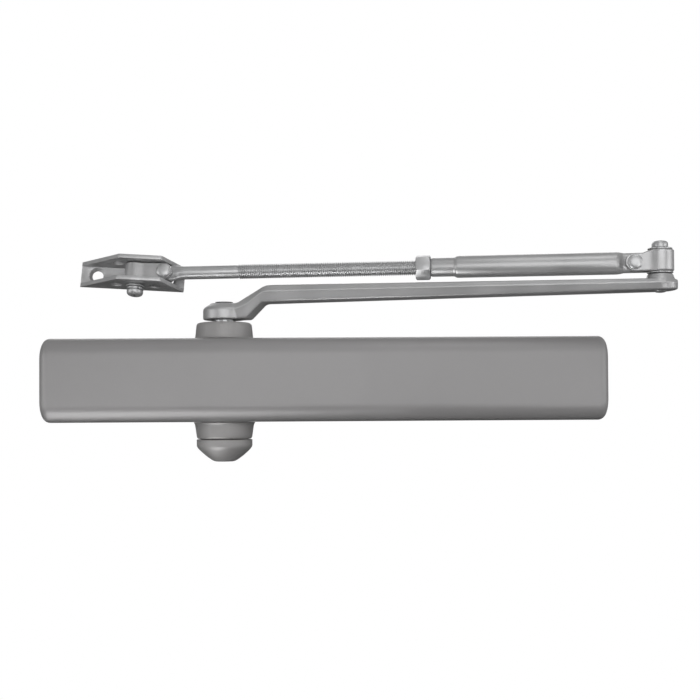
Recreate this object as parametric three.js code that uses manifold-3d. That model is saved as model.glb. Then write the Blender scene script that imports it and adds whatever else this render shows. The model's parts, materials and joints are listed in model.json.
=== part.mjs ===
// Surface-mounted hydraulic door closer with a full cover and a regular (scissor) arm.
// Millimetres, +Z up, +Y towards the door. The origin is on the mounting plane (the back of the
// closer body), level with the middle of the body and in line with the pinion axis.

import * as THREE from 'three';
import { mergeVertices } from 'three/addons/utils/BufferGeometryUtils.js';
import Module from 'manifold-3d';

const wasm = await Module();
wasm.setup();

// ---- Driving dimensions -----------------------------------------------------------------------

const COVER_LENGTH = 312;
const COVER_RIM_GAP = 1.5; // between the cover's back rim and the door
const COVER_WALL = 2;
const COVER_LONG_EDGE = 10; // radius along the top and bottom front edges
const COVER_END_CORNER = 5; // radius of the four corners in front view
const COVER_END_EDGE = 6; // radius of the two upright front edges

const PINION_FROM_LEFT = 99; // pinion axis from the cover's left end
const BORE_RADIUS = 16.5; // cylinder bore of the body
const BACK_WALL = 3.5; // between the bore and the mounting foot
const SIDE_WALL = 3.5; // above and below the bore
const FRONT_WALL = 7.3;
const BARREL_INSET = 29; // ends of the barrel, from the ends of the cover
const BODY_GAP = 1.2; // above and below the body, inside the cover
const BODY_FRONT_GAP = 2.2;
const BODY_EDGE = 8; // radius of the barrel's front edges
const FOOT_THICKNESS = 8; // mounting foot behind the barrel
const FOOT_END_GAP = 2; // between the foot and the cover's end walls
const MOUNT_HOLE_RADIUS = 3.25;
const MOUNT_HOLE_INSET = 10; // from the end of the foot
const MOUNT_HOLE_SPACING = 19; // between the two holes at one end

const SHAFT_RADIUS = 6.4;
const SHAFT_FLATS = 10.5; // across the flats of the squared ends
const GEAR_TEETH = 12;
const GEAR_MODULE = 1.5;
const GEAR_HALF_WIDTH = 8;
const PRESSURE_ANGLE = THREE.MathUtils.degToRad(20);
const RACK_ADDENDUM = 1;
const GEAR_ADDENDUM = 1.4;
const ROOT_CLEARANCE = 0.4;
const BACKLASH = 0.3;
const PISTON_STROKE = 27;

const COLLAR_RADIUS = 16.3; // at the cover
const LOWER_COLLAR_RADIUS = 16.7;
const COLLAR_TOP_RADIUS = 15.4;
const COLLAR_HEIGHT = 9.2;
const COLLAR_EDGE = 0.7;
const COLLAR_LIFT = 0.4; // between the cover and the collar
const NECK_RADIUS = 13.2; // threaded neck of the collar
const NECK_INNER_END = 10.5; // height of the neck's inner end above the piston's axis
const BUSH_WALL = 2.8;
const BUSH_LENGTH = 9;
const LIP_SEAL_HEIGHT = 6;

const CAP_RADIUS = 15.7;
const CAP_HEIGHT = 12.5;
const CAP_SIDE = 3.3; // straight part of the cap's side
const CAP_FLAT_RADIUS = 5;
const CAP_FLOOR = 2.8;

const ARM_LENGTH = 240.7; // pinion axis to elbow pin
const ARM_ANGLE = THREE.MathUtils.degToRad(-9.6); // from parallel to the door, towards the room
const ARM_BOSS_RADIUS = 11.9;
const ARM_BOSS_SIDE = 6;
const ARM_BOSS_HEIGHT = 10.3;
const ARM_BOSS_GAP = 1.7; // between the collar and the arm's boss
const ARM_RISE = 9.1; // how far the crank lifts the arm
const ARM_ROOT_THICKNESS = 9.7;
const ARM_TIP_THICKNESS = 6.2;
const ARM_ROOT_WIDTH = 18;
const ARM_TIP_WIDTH = 18.4;
const ARM_TIP_LIFT = 0.4; // the tip's middle, above the root's middle
const CRANK_START = 14.5; // from the pinion axis
const CRANK_END = 27;

const FOREARM_LENGTH = 289.7; // elbow pin to shoe pin
const FOREARM_ANGLE = THREE.MathUtils.degToRad(-7.9);
const FOREARM_GAP = 3; // between the arm's tip and the tube above it
const TUBE_RADIUS = 6;
const TUBE_END = 109; // shoulder of the tube, from the elbow pin
const TUBE_NECK_WALL = 0.88;
const TUBE_NECK_LENGTH = 13.5;
const TUBE_BORE_DEPTH = 72;
const ROD_RADIUS = 3.97;
const ROD_IN_TUBE = 42;
const ROD_ROLL = THREE.MathUtils.degToRad(-10); // how far the rod is screwed round in the tube
const NUT_FLATS = 12.7;
const NUT_THICKNESS = 8;
const NUT_TURN = THREE.MathUtils.degToRad(15.6);

const ELBOW_BEND_RADIUS = 7.4; // outside of the strap round the elbow bush
const ELBOW_STRAP = 2.5; // thickness of the strap
const ELBOW_STRAP_HEIGHT = 9.6;
const ELBOW_STRAP_FLARE = 1.8; // extra height at the bend
const ELBOW_RIVET_REACH = 13.5; // elbow pin to rivet
const ELBOW_PIN_RADIUS = 3.2;
const ELBOW_BOSS_RADIUS = 6.9;
const ELBOW_WASHER = 0.7;
const RIVET_RADIUS = 2.5;
const RIVET_HEAD_RADIUS = 3.8;
const RIVET_HEAD_HEIGHT = 1.6;
const EYE_HALF_THICKNESS = 2.6; // of the flattened ends of the tube and the rod

const SHOE_PIN_RADIUS = 3;
const SHOE_BEND_RADIUS = 6.6;
const SHOE_STRAP = 2.2;
const SHOE_STRAP_HEIGHT = 9.4;
const SHOE_RIVET_REACH = 17.1;
const SHOE_TILT = THREE.MathUtils.degToRad(2); // yoke's tilt about its rivet
const SHOE_LEFT = 33.5; // ends of the shoe, from its pin
const SHOE_RIGHT = 25.7;
const SHOE_DEPTH = 24;
const SHOE_SHEET = 2.2;
const SHOE_FLAT_LEFT = 8.2; // ends of the flanges' straight edge, from the pin
const SHOE_FLAT_RIGHT = 15.2;
const SHOE_HOLE_RADIUS = 3.3;
const SHOE_HOLE_SPACING = 11;
const SHOE_SCREW_HOLE_RADIUS = 3.2;
const SHOE_SCREW_INSET = 9.2; // screw holes from the ends of the web
const SHOE_SINK_RADIUS = 4.65;

const VALVE_FORWARD = 1; // valve axis in front of the bore
const VALVE_INSIDE = 4; // valve axis below the top of the bore
const VALVE_RADIUS = 2.9;
const VALVE_LENGTH = 19;
const SPRING_WIRE_RADIUS = 1.7;
const SPRING_TURNS = 9;
const ADJUSTER_RADIUS = 3.5;
const ADJUSTER_LENGTH = 50;

const GAP = 0.3; // clearance between neighbouring pieces
const YOKE_GAP = 0.4; // beside an eye in its yoke, and above and below the yoke in the shoe

// ---- Sizes that follow from them --------------------------------------------------------------

const AXIS_Y = -(FOOT_THICKNESS + BACK_WALL + BORE_RADIUS);
const BODY_TOP = BORE_RADIUS + SIDE_WALL;
const BODY_FRONT = AXIS_Y - BORE_RADIUS - FRONT_WALL;
const COVER_LEFT = -PINION_FROM_LEFT;
const COVER_RIGHT = COVER_LEFT + COVER_LENGTH;
const COVER_TOP = BODY_TOP + BODY_GAP + COVER_WALL;
const COVER_FRONT = BODY_FRONT - BODY_FRONT_GAP - COVER_WALL;
const BARREL_LEFT = COVER_LEFT + BARREL_INSET;
const BARREL_RIGHT = COVER_RIGHT - BARREL_INSET;
const FOOT_LEFT = COVER_LEFT + COVER_WALL + FOOT_END_GAP;
const FOOT_RIGHT = COVER_RIGHT - COVER_WALL - FOOT_END_GAP;

const PITCH_RADIUS = (GEAR_MODULE * GEAR_TEETH) / 2;
const RACK_PITCH = Math.PI * GEAR_MODULE;
const TOOTH = RACK_PITCH / 2 - BACKLASH / 2; // tooth thickness on the pitch line
const GEAR_OUTER = PITCH_RADIUS + GEAR_ADDENDUM;
const GEAR_ROOT = PITCH_RADIUS - RACK_ADDENDUM - ROOT_CLEARANCE;
const RACK_ROOT = PITCH_RADIUS + GEAR_ADDENDUM + ROOT_CLEARANCE;

const BUSH_OUTER = SHAFT_RADIUS + GAP + BUSH_WALL;
const COLLAR_BORE = BUSH_OUTER + GAP;
const COLLAR_BASE = COVER_TOP + COLLAR_LIFT;
const COLLAR_TOP = COLLAR_BASE + COLLAR_HEIGHT;
const CAP_TOP = -(COLLAR_TOP + GAP);
const CAP_BOTTOM = CAP_TOP - CAP_HEIGHT;
const SHAFT_BOTTOM = CAP_BOTTOM + CAP_FLOOR + GAP;

const BOSS_BOTTOM = COLLAR_TOP + ARM_BOSS_GAP;
const BOSS_TOP = BOSS_BOTTOM + ARM_BOSS_HEIGHT;
const BOSS_SHOULDER = BOSS_BOTTOM + ARM_BOSS_SIDE - GAP; // floor of the screw's recess
const SHAFT_TOP = BOSS_SHOULDER - GAP;
const ARM_ROOT_BOTTOM = BOSS_BOTTOM + ARM_RISE;
const ARM_ROOT_TOP = ARM_ROOT_BOTTOM + ARM_ROOT_THICKNESS;
const ARM_TIP_CENTRE = ARM_ROOT_BOTTOM + ARM_ROOT_THICKNESS / 2 + ARM_TIP_LIFT;
const ARM_TIP_BOTTOM = ARM_TIP_CENTRE - ARM_TIP_THICKNESS / 2;
const ARM_TIP_TOP = ARM_TIP_CENTRE + ARM_TIP_THICKNESS / 2;

const FOREARM_Z = ARM_TIP_TOP + FOREARM_GAP + TUBE_RADIUS;
const STRAP_BOTTOM = FOREARM_Z - ELBOW_STRAP_HEIGHT / 2;
const STRAP_BEND_TOP = FOREARM_Z + ELBOW_STRAP_HEIGHT / 2 + ELBOW_STRAP_FLARE;
const ELBOW_BOSS_TOP = STRAP_BOTTOM - ELBOW_WASHER - 2 * GAP;
const TUBE_NECK_RADIUS = ROD_RADIUS + GAP + TUBE_NECK_WALL;
const NUT_START = TUBE_END + TUBE_NECK_LENGTH + GAP;
const NUT_END = NUT_START + NUT_THICKNESS;
const SHOE_RIVET_X = -(FOREARM_LENGTH - SHOE_RIVET_REACH);

const SHOE_INNER = SHOE_STRAP_HEIGHT / 2 + YOKE_GAP; // half the height inside the shoe
const SHOE_OUTER = SHOE_INNER + SHOE_SHEET;

// ---- Materials --------------------------------------------------------------------------------

function finish(colour, metalness, roughness) {
  return new THREE.MeshStandardMaterial({ color: colour, metalness, roughness });
}

const COVER_PAINT = finish(0x9a9896, 0, 0.42);
const COLLAR_PAINT = finish(0x8f8d8b, 0.1, 0.4);
const CASTING = finish(0x8b8d8f, 0.6, 0.55);
const ARM_PAINT = finish(0x9c9c9d, 0.55, 0.38);
const ZINC = finish(0xb9bbbd, 0.9, 0.28);
const STEEL = finish(0x7f8286, 0.9, 0.35);
const DARK_STEEL = finish(0x3c3e41, 0.8, 0.45);
const BRONZE = finish(0xa77b45, 0.85, 0.4);
const RUBBER = finish(0x1c1c1d, 0, 0.75);

// ---- Solids -----------------------------------------------------------------------------------

// A closed three.js geometry as a solid that can be joined and cut.
function solid(geometry) {
  const bare = geometry.clone();
  bare.deleteAttribute('normal');
  bare.deleteAttribute('uv');
  const merged = mergeVertices(bare, 1e-4);
  const vertProperties = new Float32Array(merged.attributes.position.array);
  const triVerts = new Uint32Array(merged.index.array);
  return new wasm.Manifold(new wasm.Mesh({ numProp: 3, vertProperties, triVerts }));
}

function geometryOf(shape) {
  const { vertProperties, triVerts } = shape.getMesh();
  const geometry = new THREE.BufferGeometry();
  geometry.setAttribute('position', new THREE.BufferAttribute(vertProperties, 3));
  geometry.setIndex(new THREE.BufferAttribute(triVerts, 1));
  geometry.computeVertexNormals();
  return geometry;
}

// Turns a geometry made along Z so that it runs along the given axis.
function along(axis, geometry) {
  if (axis === 'x') {
    geometry.applyMatrix4(new THREE.Matrix4().makeBasis(
      new THREE.Vector3(0, 1, 0),
      new THREE.Vector3(0, 0, 1),
      new THREE.Vector3(1, 0, 0),
    ));
  }
  if (axis === 'y') {
    geometry.applyMatrix4(new THREE.Matrix4().makeBasis(
      new THREE.Vector3(0, 0, 1),
      new THREE.Vector3(1, 0, 0),
      new THREE.Vector3(0, 1, 0),
    ));
  }
  return geometry;
}

// A round bar between two places on an axis; `at` moves it sideways.
function bar(axis, radius, from, to, at = [0, 0, 0], sides = 20) {
  const geometry = new THREE.CylinderGeometry(radius, radius, to - from, sides);
  geometry.rotateX(Math.PI / 2);
  geometry.translate(0, 0, (from + to) / 2);
  return solid(along(axis, geometry).translate(...at));
}

// A solid of revolution about an axis, from a closed outline of [radius, height] points.
function turned(axis, profile, at = [0, 0, 0], sides = 20) {
  const points = profile.map(([radius, height]) => new THREE.Vector2(radius, height));
  const ends = points[0].x > 0 ? [...points, points[0].clone()] : points;
  const geometry = new THREE.LatheGeometry(ends, sides);
  geometry.rotateX(Math.PI / 2);
  return solid(along(axis, geometry).translate(...at));
}

function ring(axis, inner, outer, from, to, at, sides) {
  return turned(axis, [[inner, from], [outer, from], [outer, to], [inner, to]], at, sides);
}

function oRing(axis, radius, thickness, place, at = [0, 0, 0]) {
  const geometry = new THREE.TorusGeometry(radius, thickness / 2, 5, 16);
  geometry.translate(0, 0, place);
  return solid(along(axis, geometry).translate(...at));
}

function block([x0, x1], [y0, y1], [z0, z1]) {
  const geometry = new THREE.BoxGeometry(x1 - x0, y1 - y0, z1 - z0);
  return solid(geometry.translate((x0 + x1) / 2, (y0 + y1) / 2, (z0 + z1) / 2));
}

// An outline from [x, y] corners, each with an optional corner radius.
function outline(corners) {
  const shape = new THREE.Shape();
  corners.forEach(([x, y, radius = 0], i) => {
    const here = new THREE.Vector2(x, y);
    const [px, py] = corners[(i + corners.length - 1) % corners.length];
    const [nx, ny] = corners[(i + 1) % corners.length];
    const before = new THREE.Vector2(px, py).sub(here).normalize();
    const after = new THREE.Vector2(nx, ny).sub(here).normalize();
    const reach = radius / Math.tan(Math.acos(before.dot(after)) / 2);
    const start = here.clone().addScaledVector(before, reach);
    const end = here.clone().addScaledVector(after, reach);
    if (i === 0) shape.moveTo(start.x, start.y);
    else shape.lineTo(start.x, start.y);
    if (radius > 0) shape.quadraticCurveTo(x, y, end.x, end.y);
  });
  return shape;
}

// An outline drawn in XY, extruded along Z.
function slab(shape, from, to, curveSegments = 6) {
  const options = { depth: to - from, bevelEnabled: false, curveSegments };
  return solid(new THREE.ExtrudeGeometry(shape, options).translate(0, 0, from));
}

// An outline drawn in YZ, extruded along X; `at` moves it sideways.
function lengthwise(shape, from, to, at = [0, 0, 0], curveSegments = 5) {
  const options = { depth: to - from, bevelEnabled: false, curveSegments };
  const geometry = new THREE.ExtrudeGeometry(shape, options).translate(0, 0, from);
  return solid(along('x', geometry).translate(...at));
}

// An outline drawn in XZ, extruded along Y.
function crosswise(shape, from, to, curveSegments = 6) {
  const options = { depth: to - from, bevelEnabled: false, curveSegments };
  const geometry = new THREE.ExtrudeGeometry(shape, options).translate(0, 0, -to);
  return solid(geometry.rotateX(Math.PI / 2));
}

// A straight-sided outline from [radius, angle] corners.
function polygon(corners) {
  return new THREE.Shape(corners.map(
    ([radius, angle]) => new THREE.Vector2(radius * Math.cos(angle), radius * Math.sin(angle)),
  ));
}

function hexagon(acrossFlats, turn = 0) {
  const sides = [0, 1, 2, 3, 4, 5];
  return polygon(sides.map((side) => [acrossFlats / Math.sqrt(3), turn + (side * Math.PI) / 3]));
}

function add(group, name, shape, material) {
  const mesh = new THREE.Mesh(geometryOf(shape), material);
  mesh.name = name;
  group.add(mesh);
}

// ---- Closer body ------------------------------------------------------------------------------

const closer = new THREE.Group();

const VALVE_Y = AXIS_Y - BORE_RADIUS - VALVE_FORWARD;
const VALVE_Z = BORE_RADIUS - VALVE_INSIDE;
const VALVE_AT = [0, VALVE_Y, VALVE_Z]; // beside the bore, in the barrel's corner
const LATCH_AT = [0, VALVE_Y, -VALVE_Z];
const CLIP_LENGTH = 11;
const CLIP_SHEET = 1;
const CLIP_HALF_WIDTH = 4.5;
const CLIP_UPRIGHT = 13;
const CLIP_SCREW_RADIUS = 1.6;
const CLIP_SCREW_HEAD = [3, 1.5]; // radius and height
const CLIP_SCREW_INSET = 7; // from the end of the foot

function closerBody() {
  const section = outline([
    [BODY_FRONT, -BODY_TOP, BODY_EDGE],
    [0, -BODY_TOP],
    [0, BODY_TOP],
    [BODY_FRONT, BODY_TOP, BODY_EDGE],
  ]);
  let body = lengthwise(section, BARREL_LEFT, BARREL_RIGHT);
  body = body.add(block([FOOT_LEFT, FOOT_RIGHT], [-FOOT_THICKNESS, 0], [-BODY_TOP, BODY_TOP]));
  const axis = [0, AXIS_Y, 0];
  body = body.subtract(bar('x', BORE_RADIUS, BARREL_LEFT - 1, BARREL_RIGHT + 1, axis, 28));
  body = body.subtract(bar('z', NECK_RADIUS + GAP, -BODY_TOP - 1, BODY_TOP + 1, axis, 28));
  const valveHole = VALVE_RADIUS + GAP;
  const left = [BARREL_LEFT - 1, BARREL_LEFT + VALVE_LENGTH + 1];
  body = body.subtract(bar('x', valveHole, ...left, VALVE_AT, 14));
  body = body.subtract(bar('x', valveHole, ...left, LATCH_AT, 14));
  const right = [BARREL_RIGHT - VALVE_LENGTH - 1, BARREL_RIGHT + 1];
  body = body.subtract(bar('x', valveHole, ...right, VALVE_AT, 14));
  for (const x of [FOOT_LEFT + MOUNT_HOLE_INSET, FOOT_RIGHT - MOUNT_HOLE_INSET]) {
    for (const side of [-1, 1]) {
      const at = [x, 0, (side * MOUNT_HOLE_SPACING) / 2];
      body = body.subtract(bar('y', MOUNT_HOLE_RADIUS, -FOOT_THICKNESS - 1, 1, at, 16));
    }
  }
  for (const x of [FOOT_LEFT + CLIP_SCREW_INSET, FOOT_RIGHT - CLIP_SCREW_INSET]) {
    const hole = bar('y', CLIP_SCREW_RADIUS + GAP, -FOOT_THICKNESS - 1, 1, [x, 0, 0], 16);
    body = body.subtract(hole);
  }
  return body;
}

add(closer, 'closer_body', closerBody(), CASTING);

// ---- End plugs and their seals ----------------------------------------------------------------

const PLUG_DEPTH = 9;
const PLUG_HEAD = 3;
const PLUG_HEAD_RIM = 1.3; // the head's overhang round the bore
const GROOVE_INSET = 3; // from the inner side of the head, and from the end of the piston
const GROOVE_WIDTH = 2.2;
const SEAL_THICKNESS = 1.5;
const SEAL_GAP = 0.15;
const GROOVE_RADIUS = BORE_RADIUS - SEAL_THICKNESS - 3 * SEAL_GAP;
const SEAL_RADIUS = BORE_RADIUS - SEAL_GAP - SEAL_THICKNESS / 2;
const PLUG_HEX = 12;
const PLUG_HEX_DEPTH = 4.8;

// A plug whose head faces -X when side is -1 and +X when side is +1.
function endPlug(end, side) {
  const at = [0, AXIS_Y, 0];
  const place = (inward) => end - side * inward;
  const span = (a, b) => [Math.min(place(a), place(b)), Math.max(place(a), place(b))];
  let plug = bar('x', BORE_RADIUS - GAP, ...span(-GAP, PLUG_DEPTH), at, 24);
  const head = BORE_RADIUS + PLUG_HEAD_RIM;
  plug = plug.add(bar('x', head, ...span(-GAP - PLUG_HEAD, -GAP), at, 24));
  const groove = span(GROOVE_INSET, GROOVE_INSET + GROOVE_WIDTH);
  return plug.subtract(ring('x', GROOVE_RADIUS, BORE_RADIUS + 1, ...groove, at, 24));
}

function plugSeal(end, side) {
  const middle = end - side * (GROOVE_INSET + GROOVE_WIDTH / 2);
  return oRing('x', SEAL_RADIUS, SEAL_THICKNESS, middle, [0, AXIS_Y, 0]);
}

function plugHexSocket(end, side) {
  const face = end + side * (GAP + PLUG_HEAD);
  const outer = face + side;
  const inner = face - side * PLUG_HEX_DEPTH;
  const at = [0, AXIS_Y, 0];
  return lengthwise(hexagon(PLUG_HEX), Math.min(outer, inner), Math.max(outer, inner), at);
}

const leftPlug = endPlug(BARREL_LEFT, -1).subtract(plugHexSocket(BARREL_LEFT, -1));
add(closer, 'left_end_plug', leftPlug, STEEL);
add(closer, 'left_plug_seal', plugSeal(BARREL_LEFT, -1), RUBBER);

const ADJUSTER_HEAD_RADIUS = 6;
const ADJUSTER_HEAD = 3;
const ADJUSTER_HEX = 5;
const SOCKET_FLOOR = 0.6; // left under the hexagon socket of a head

function rightPlug() {
  const at = [0, AXIS_Y, 0];
  const shank = [BARREL_RIGHT - PLUG_DEPTH - 1, BARREL_RIGHT + 1];
  const head = [BARREL_RIGHT, BARREL_RIGHT + PLUG_HEAD + 2];
  const plug = endPlug(BARREL_RIGHT, 1).subtract(bar('x', ADJUSTER_RADIUS + GAP, ...shank, at, 20));
  return plug.subtract(bar('x', ADJUSTER_HEAD_RADIUS + GAP, ...head, at, 24));
}

add(closer, 'right_end_plug', rightPlug(), STEEL);
add(closer, 'right_plug_seal', plugSeal(BARREL_RIGHT, 1), RUBBER);

// ---- Piston with its rack, ring and check valve -----------------------------------------------

const PISTON_RADIUS = BORE_RADIUS - GAP;
const WINDOW_END_GAP = 1.8; // between the piston's window and the collars' necks
const WINDOW_LEFT = -(PISTON_STROKE + NECK_RADIUS + WINDOW_END_GAP);
const WINDOW_RIGHT = NECK_RADIUS + WINDOW_END_GAP;
const PISTON_HEAD = 10; // solid part at the left of the window
const PISTON_SKIRT = 25;
const PISTON_LEFT = WINDOW_LEFT - PISTON_HEAD;
const PISTON_RIGHT = WINDOW_RIGHT + PISTON_SKIRT;
const WINDOW_FRONT_GAP = 0.8;
const WEB_TOP = NECK_INNER_END - 0.7; // height of the rack's web above the piston's axis
const RACK_LEFT_MARGIN = 4;
const RACK_RIGHT_MARGIN = 3;
const SKIRT_WALL = 2.9;
const SPRING_OUTER = PISTON_RADIUS - SKIRT_WALL;
const SPRING_POCKET = 18;
const CHECK_BALL_RADIUS = 2.6;
const CHECK_BALL_INSET = 0.4;
const OIL_WAY_RADIUS = 1.6;

function rackTooth(centre) {
  const slope = Math.tan(PRESSURE_ANGLE);
  const halfAt = (distance) => TOOTH / 2 - (PITCH_RADIUS - distance) * slope;
  const tip = PITCH_RADIUS - RACK_ADDENDUM;
  const root = RACK_ROOT + 0.5;
  const shape = outline([
    [centre - halfAt(tip), AXIS_Y + tip],
    [centre + halfAt(tip), AXIS_Y + tip],
    [centre + halfAt(root), AXIS_Y + root],
    [centre - halfAt(root), AXIS_Y + root],
  ]);
  return slab(shape, -WEB_TOP, WEB_TOP);
}

function piston() {
  const at = [0, AXIS_Y, 0];
  const blank = bar('x', PISTON_RADIUS, PISTON_LEFT, PISTON_RIGHT, at, 24);
  let body = blank;
  const windowFront = AXIS_Y - GEAR_OUTER - WINDOW_FRONT_GAP;
  const whole = [-BORE_RADIUS, BORE_RADIUS];
  const window = [WINDOW_LEFT, WINDOW_RIGHT];
  body = body.subtract(block(window, [windowFront, AXIS_Y + RACK_ROOT], whole));
  const across = [AXIS_Y - BORE_RADIUS, AXIS_Y + BORE_RADIUS];
  body = body.subtract(block(window, across, [WEB_TOP, BORE_RADIUS]));
  body = body.subtract(block(window, across, [-BORE_RADIUS, -WEB_TOP]));
  const first = Math.ceil((WINDOW_LEFT + RACK_LEFT_MARGIN) / RACK_PITCH);
  const last = Math.floor((WINDOW_RIGHT - RACK_RIGHT_MARGIN) / RACK_PITCH);
  for (let tooth = first; tooth <= last; tooth += 1) {
    body = body.add(rackTooth(tooth * RACK_PITCH).intersect(blank));
  }
  const pocket = SPRING_OUTER + GAP;
  body = body.subtract(bar('x', pocket, PISTON_RIGHT - SPRING_POCKET, PISTON_RIGHT + 1, at, 24));
  const groove = [PISTON_LEFT + GROOVE_INSET, PISTON_LEFT + GROOVE_INSET + GROOVE_WIDTH];
  body = body.subtract(ring('x', GROOVE_RADIUS, BORE_RADIUS + 1, ...groove, at, 24));
  body = body.subtract(bar('x', OIL_WAY_RADIUS, PISTON_LEFT - 1, WINDOW_LEFT + 1, at, 16));
  const ballSeat = PISTON_LEFT + 2 * CHECK_BALL_RADIUS + 1;
  return body.subtract(bar('x', CHECK_BALL_RADIUS + GAP, PISTON_LEFT - 1, ballSeat, at, 14));
}

add(closer, 'piston', piston(), STEEL);
const ringAt = PISTON_LEFT + GROOVE_INSET + GROOVE_WIDTH / 2;
const pistonRing = oRing('x', SEAL_RADIUS, SEAL_THICKNESS, ringAt, [0, AXIS_Y, 0]);
add(closer, 'piston_ring', pistonRing, RUBBER);

const checkBall = new THREE.SphereGeometry(CHECK_BALL_RADIUS, 12, 8);
checkBall.translate(PISTON_LEFT + CHECK_BALL_RADIUS + CHECK_BALL_INSET, AXIS_Y, 0);
add(closer, 'check_valve_ball', solid(checkBall), STEEL);

// ---- Spring, spring seat and power adjuster ---------------------------------------------------

const SEAT_THICKNESS = 5;
const SEAT_RIGHT = BARREL_RIGHT - PLUG_DEPTH - 1;
const SEAT_RIM_GAP = 1; // between the seat and the bore, more than the piston's
const SPIGOT_LENGTH = 9;
const SPIGOT_GAP = 1; // between the spigot and the spring
const SEAT_LEFT = SEAT_RIGHT - SEAT_THICKNESS;
const SPRING_LEFT = PISTON_RIGHT - SPRING_POCKET + SPRING_WIRE_RADIUS + GAP;
const SPRING_RIGHT = SEAT_LEFT - SPRING_WIRE_RADIUS - GAP;
const SPRING_MEAN = SPRING_OUTER - SPRING_WIRE_RADIUS;

class SpringLine extends THREE.Curve {
  getPoint(t, target = new THREE.Vector3()) {
    const angle = 2 * Math.PI * SPRING_TURNS * t;
    const x = SPRING_LEFT + (SPRING_RIGHT - SPRING_LEFT) * t;
    return target.set(x, AXIS_Y + SPRING_MEAN * Math.cos(angle), SPRING_MEAN * Math.sin(angle));
  }
}

function returnSpring() {
  const wire = new THREE.Shape().absarc(0, 0, SPRING_WIRE_RADIUS, 0, 2 * Math.PI);
  const options = { steps: SPRING_TURNS * 10, extrudePath: new SpringLine(), curveSegments: 3 };
  return solid(new THREE.ExtrudeGeometry(wire, options));
}

add(closer, 'return_spring', returnSpring(), DARK_STEEL);

const seatAxis = [0, AXIS_Y, 0];

function springSeat() {
  const spigotEnd = SEAT_LEFT - SPIGOT_LENGTH;
  const spigotRadius = SPRING_OUTER - 2 * SPRING_WIRE_RADIUS - SPIGOT_GAP;
  let seat = bar('x', PISTON_RADIUS - SEAT_RIM_GAP, SEAT_LEFT, SEAT_RIGHT, seatAxis, 24);
  seat = seat.add(bar('x', spigotRadius, spigotEnd, SEAT_LEFT, seatAxis, 24));
  return seat.subtract(bar('x', ADJUSTER_RADIUS + GAP, spigotEnd - 1, SEAT_RIGHT + 1, seatAxis, 16));
}

add(closer, 'spring_seat', springSeat(), STEEL);

function powerAdjuster() {
  const head = BARREL_RIGHT + GAP;
  let screw = bar('x', ADJUSTER_RADIUS, head - ADJUSTER_LENGTH, head, seatAxis, 16);
  screw = screw.add(bar('x', ADJUSTER_HEAD_RADIUS, head, head + ADJUSTER_HEAD, seatAxis, 24));
  const socket = [head + SOCKET_FLOOR, head + ADJUSTER_HEAD + 1];
  return screw.subtract(lengthwise(hexagon(ADJUSTER_HEX), ...socket, seatAxis));
}

add(closer, 'power_adjuster', powerAdjuster(), STEEL);

// ---- Regulating valves ------------------------------------------------------------------------

const VALVE_HEAD_OUT = 1.2; // the slotted head stands out of the barrel's end
const NEEDLE_LENGTH = 7;
const NEEDLE_RADIUS = 1.3;
const VALVE_GROOVE = [5, 6.8]; // ends of the seal's groove, from the barrel's end
const VALVE_GROOVE_RADIUS = 1.9;
const VALVE_SEAL_THICKNESS = 0.9;
const SLOT_HALF_WIDTH = 0.5;

// A needle screw whose slotted head faces -X when side is -1 and +X when side is +1.
function valve(end, side, at) {
  const place = (inward) => end - side * inward;
  const span = (a, b) => [Math.min(place(a), place(b)), Math.max(place(a), place(b))];
  const needle = span(VALVE_LENGTH - NEEDLE_LENGTH - 1, VALVE_LENGTH - 1);
  let screw = bar('x', VALVE_RADIUS, ...span(-VALVE_HEAD_OUT, VALVE_LENGTH - NEEDLE_LENGTH), at, 14);
  screw = screw.add(bar('x', NEEDLE_RADIUS, ...needle, at, 12));
  const groove = ring('x', VALVE_GROOVE_RADIUS, VALVE_RADIUS + 1, ...span(...VALVE_GROOVE), at, 14);
  screw = screw.subtract(groove);
  const across = [at[1] - SLOT_HALF_WIDTH, at[1] + SLOT_HALF_WIDTH];
  const along = [at[2] - VALVE_RADIUS - 1, at[2] + VALVE_RADIUS + 1];
  return screw.subtract(block(span(-VALVE_HEAD_OUT - 1, 0), across, along));
}

function valveSeal(end, side, at) {
  const radius = VALVE_RADIUS + GAP - SEAL_GAP / 3 - VALVE_SEAL_THICKNESS / 2 - SEAL_GAP;
  const middle = (VALVE_GROOVE[0] + VALVE_GROOVE[1]) / 2;
  return oRing('x', radius, VALVE_SEAL_THICKNESS, end - side * middle, at);
}

add(closer, 'sweep_valve', valve(BARREL_LEFT, -1, VALVE_AT), BRONZE);
add(closer, 'sweep_valve_seal', valveSeal(BARREL_LEFT, -1, VALVE_AT), RUBBER);
add(closer, 'latch_valve', valve(BARREL_LEFT, -1, LATCH_AT), BRONZE);
add(closer, 'latch_valve_seal', valveSeal(BARREL_LEFT, -1, LATCH_AT), RUBBER);
add(closer, 'backcheck_valve', valve(BARREL_RIGHT, 1, VALVE_AT), BRONZE);
add(closer, 'backcheck_valve_seal', valveSeal(BARREL_RIGHT, 1, VALVE_AT), RUBBER);

// ---- Pinion, bearings, lip seals, collars and cap ---------------------------------------------

const spindle = new THREE.Group();
spindle.position.set(0, AXIS_Y, 0);
closer.add(spindle);

function involute(angle) {
  return Math.tan(angle) - angle;
}

// Half the angle that a tooth takes up at a radius.
function toothHalfAngle(radius) {
  const base = PITCH_RADIUS * Math.cos(PRESSURE_ANGLE);
  const slope = radius > base ? Math.acos(base / radius) : 0;
  return TOOTH / (2 * PITCH_RADIUS) + involute(PRESSURE_ANGLE) - involute(slope);
}

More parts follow.
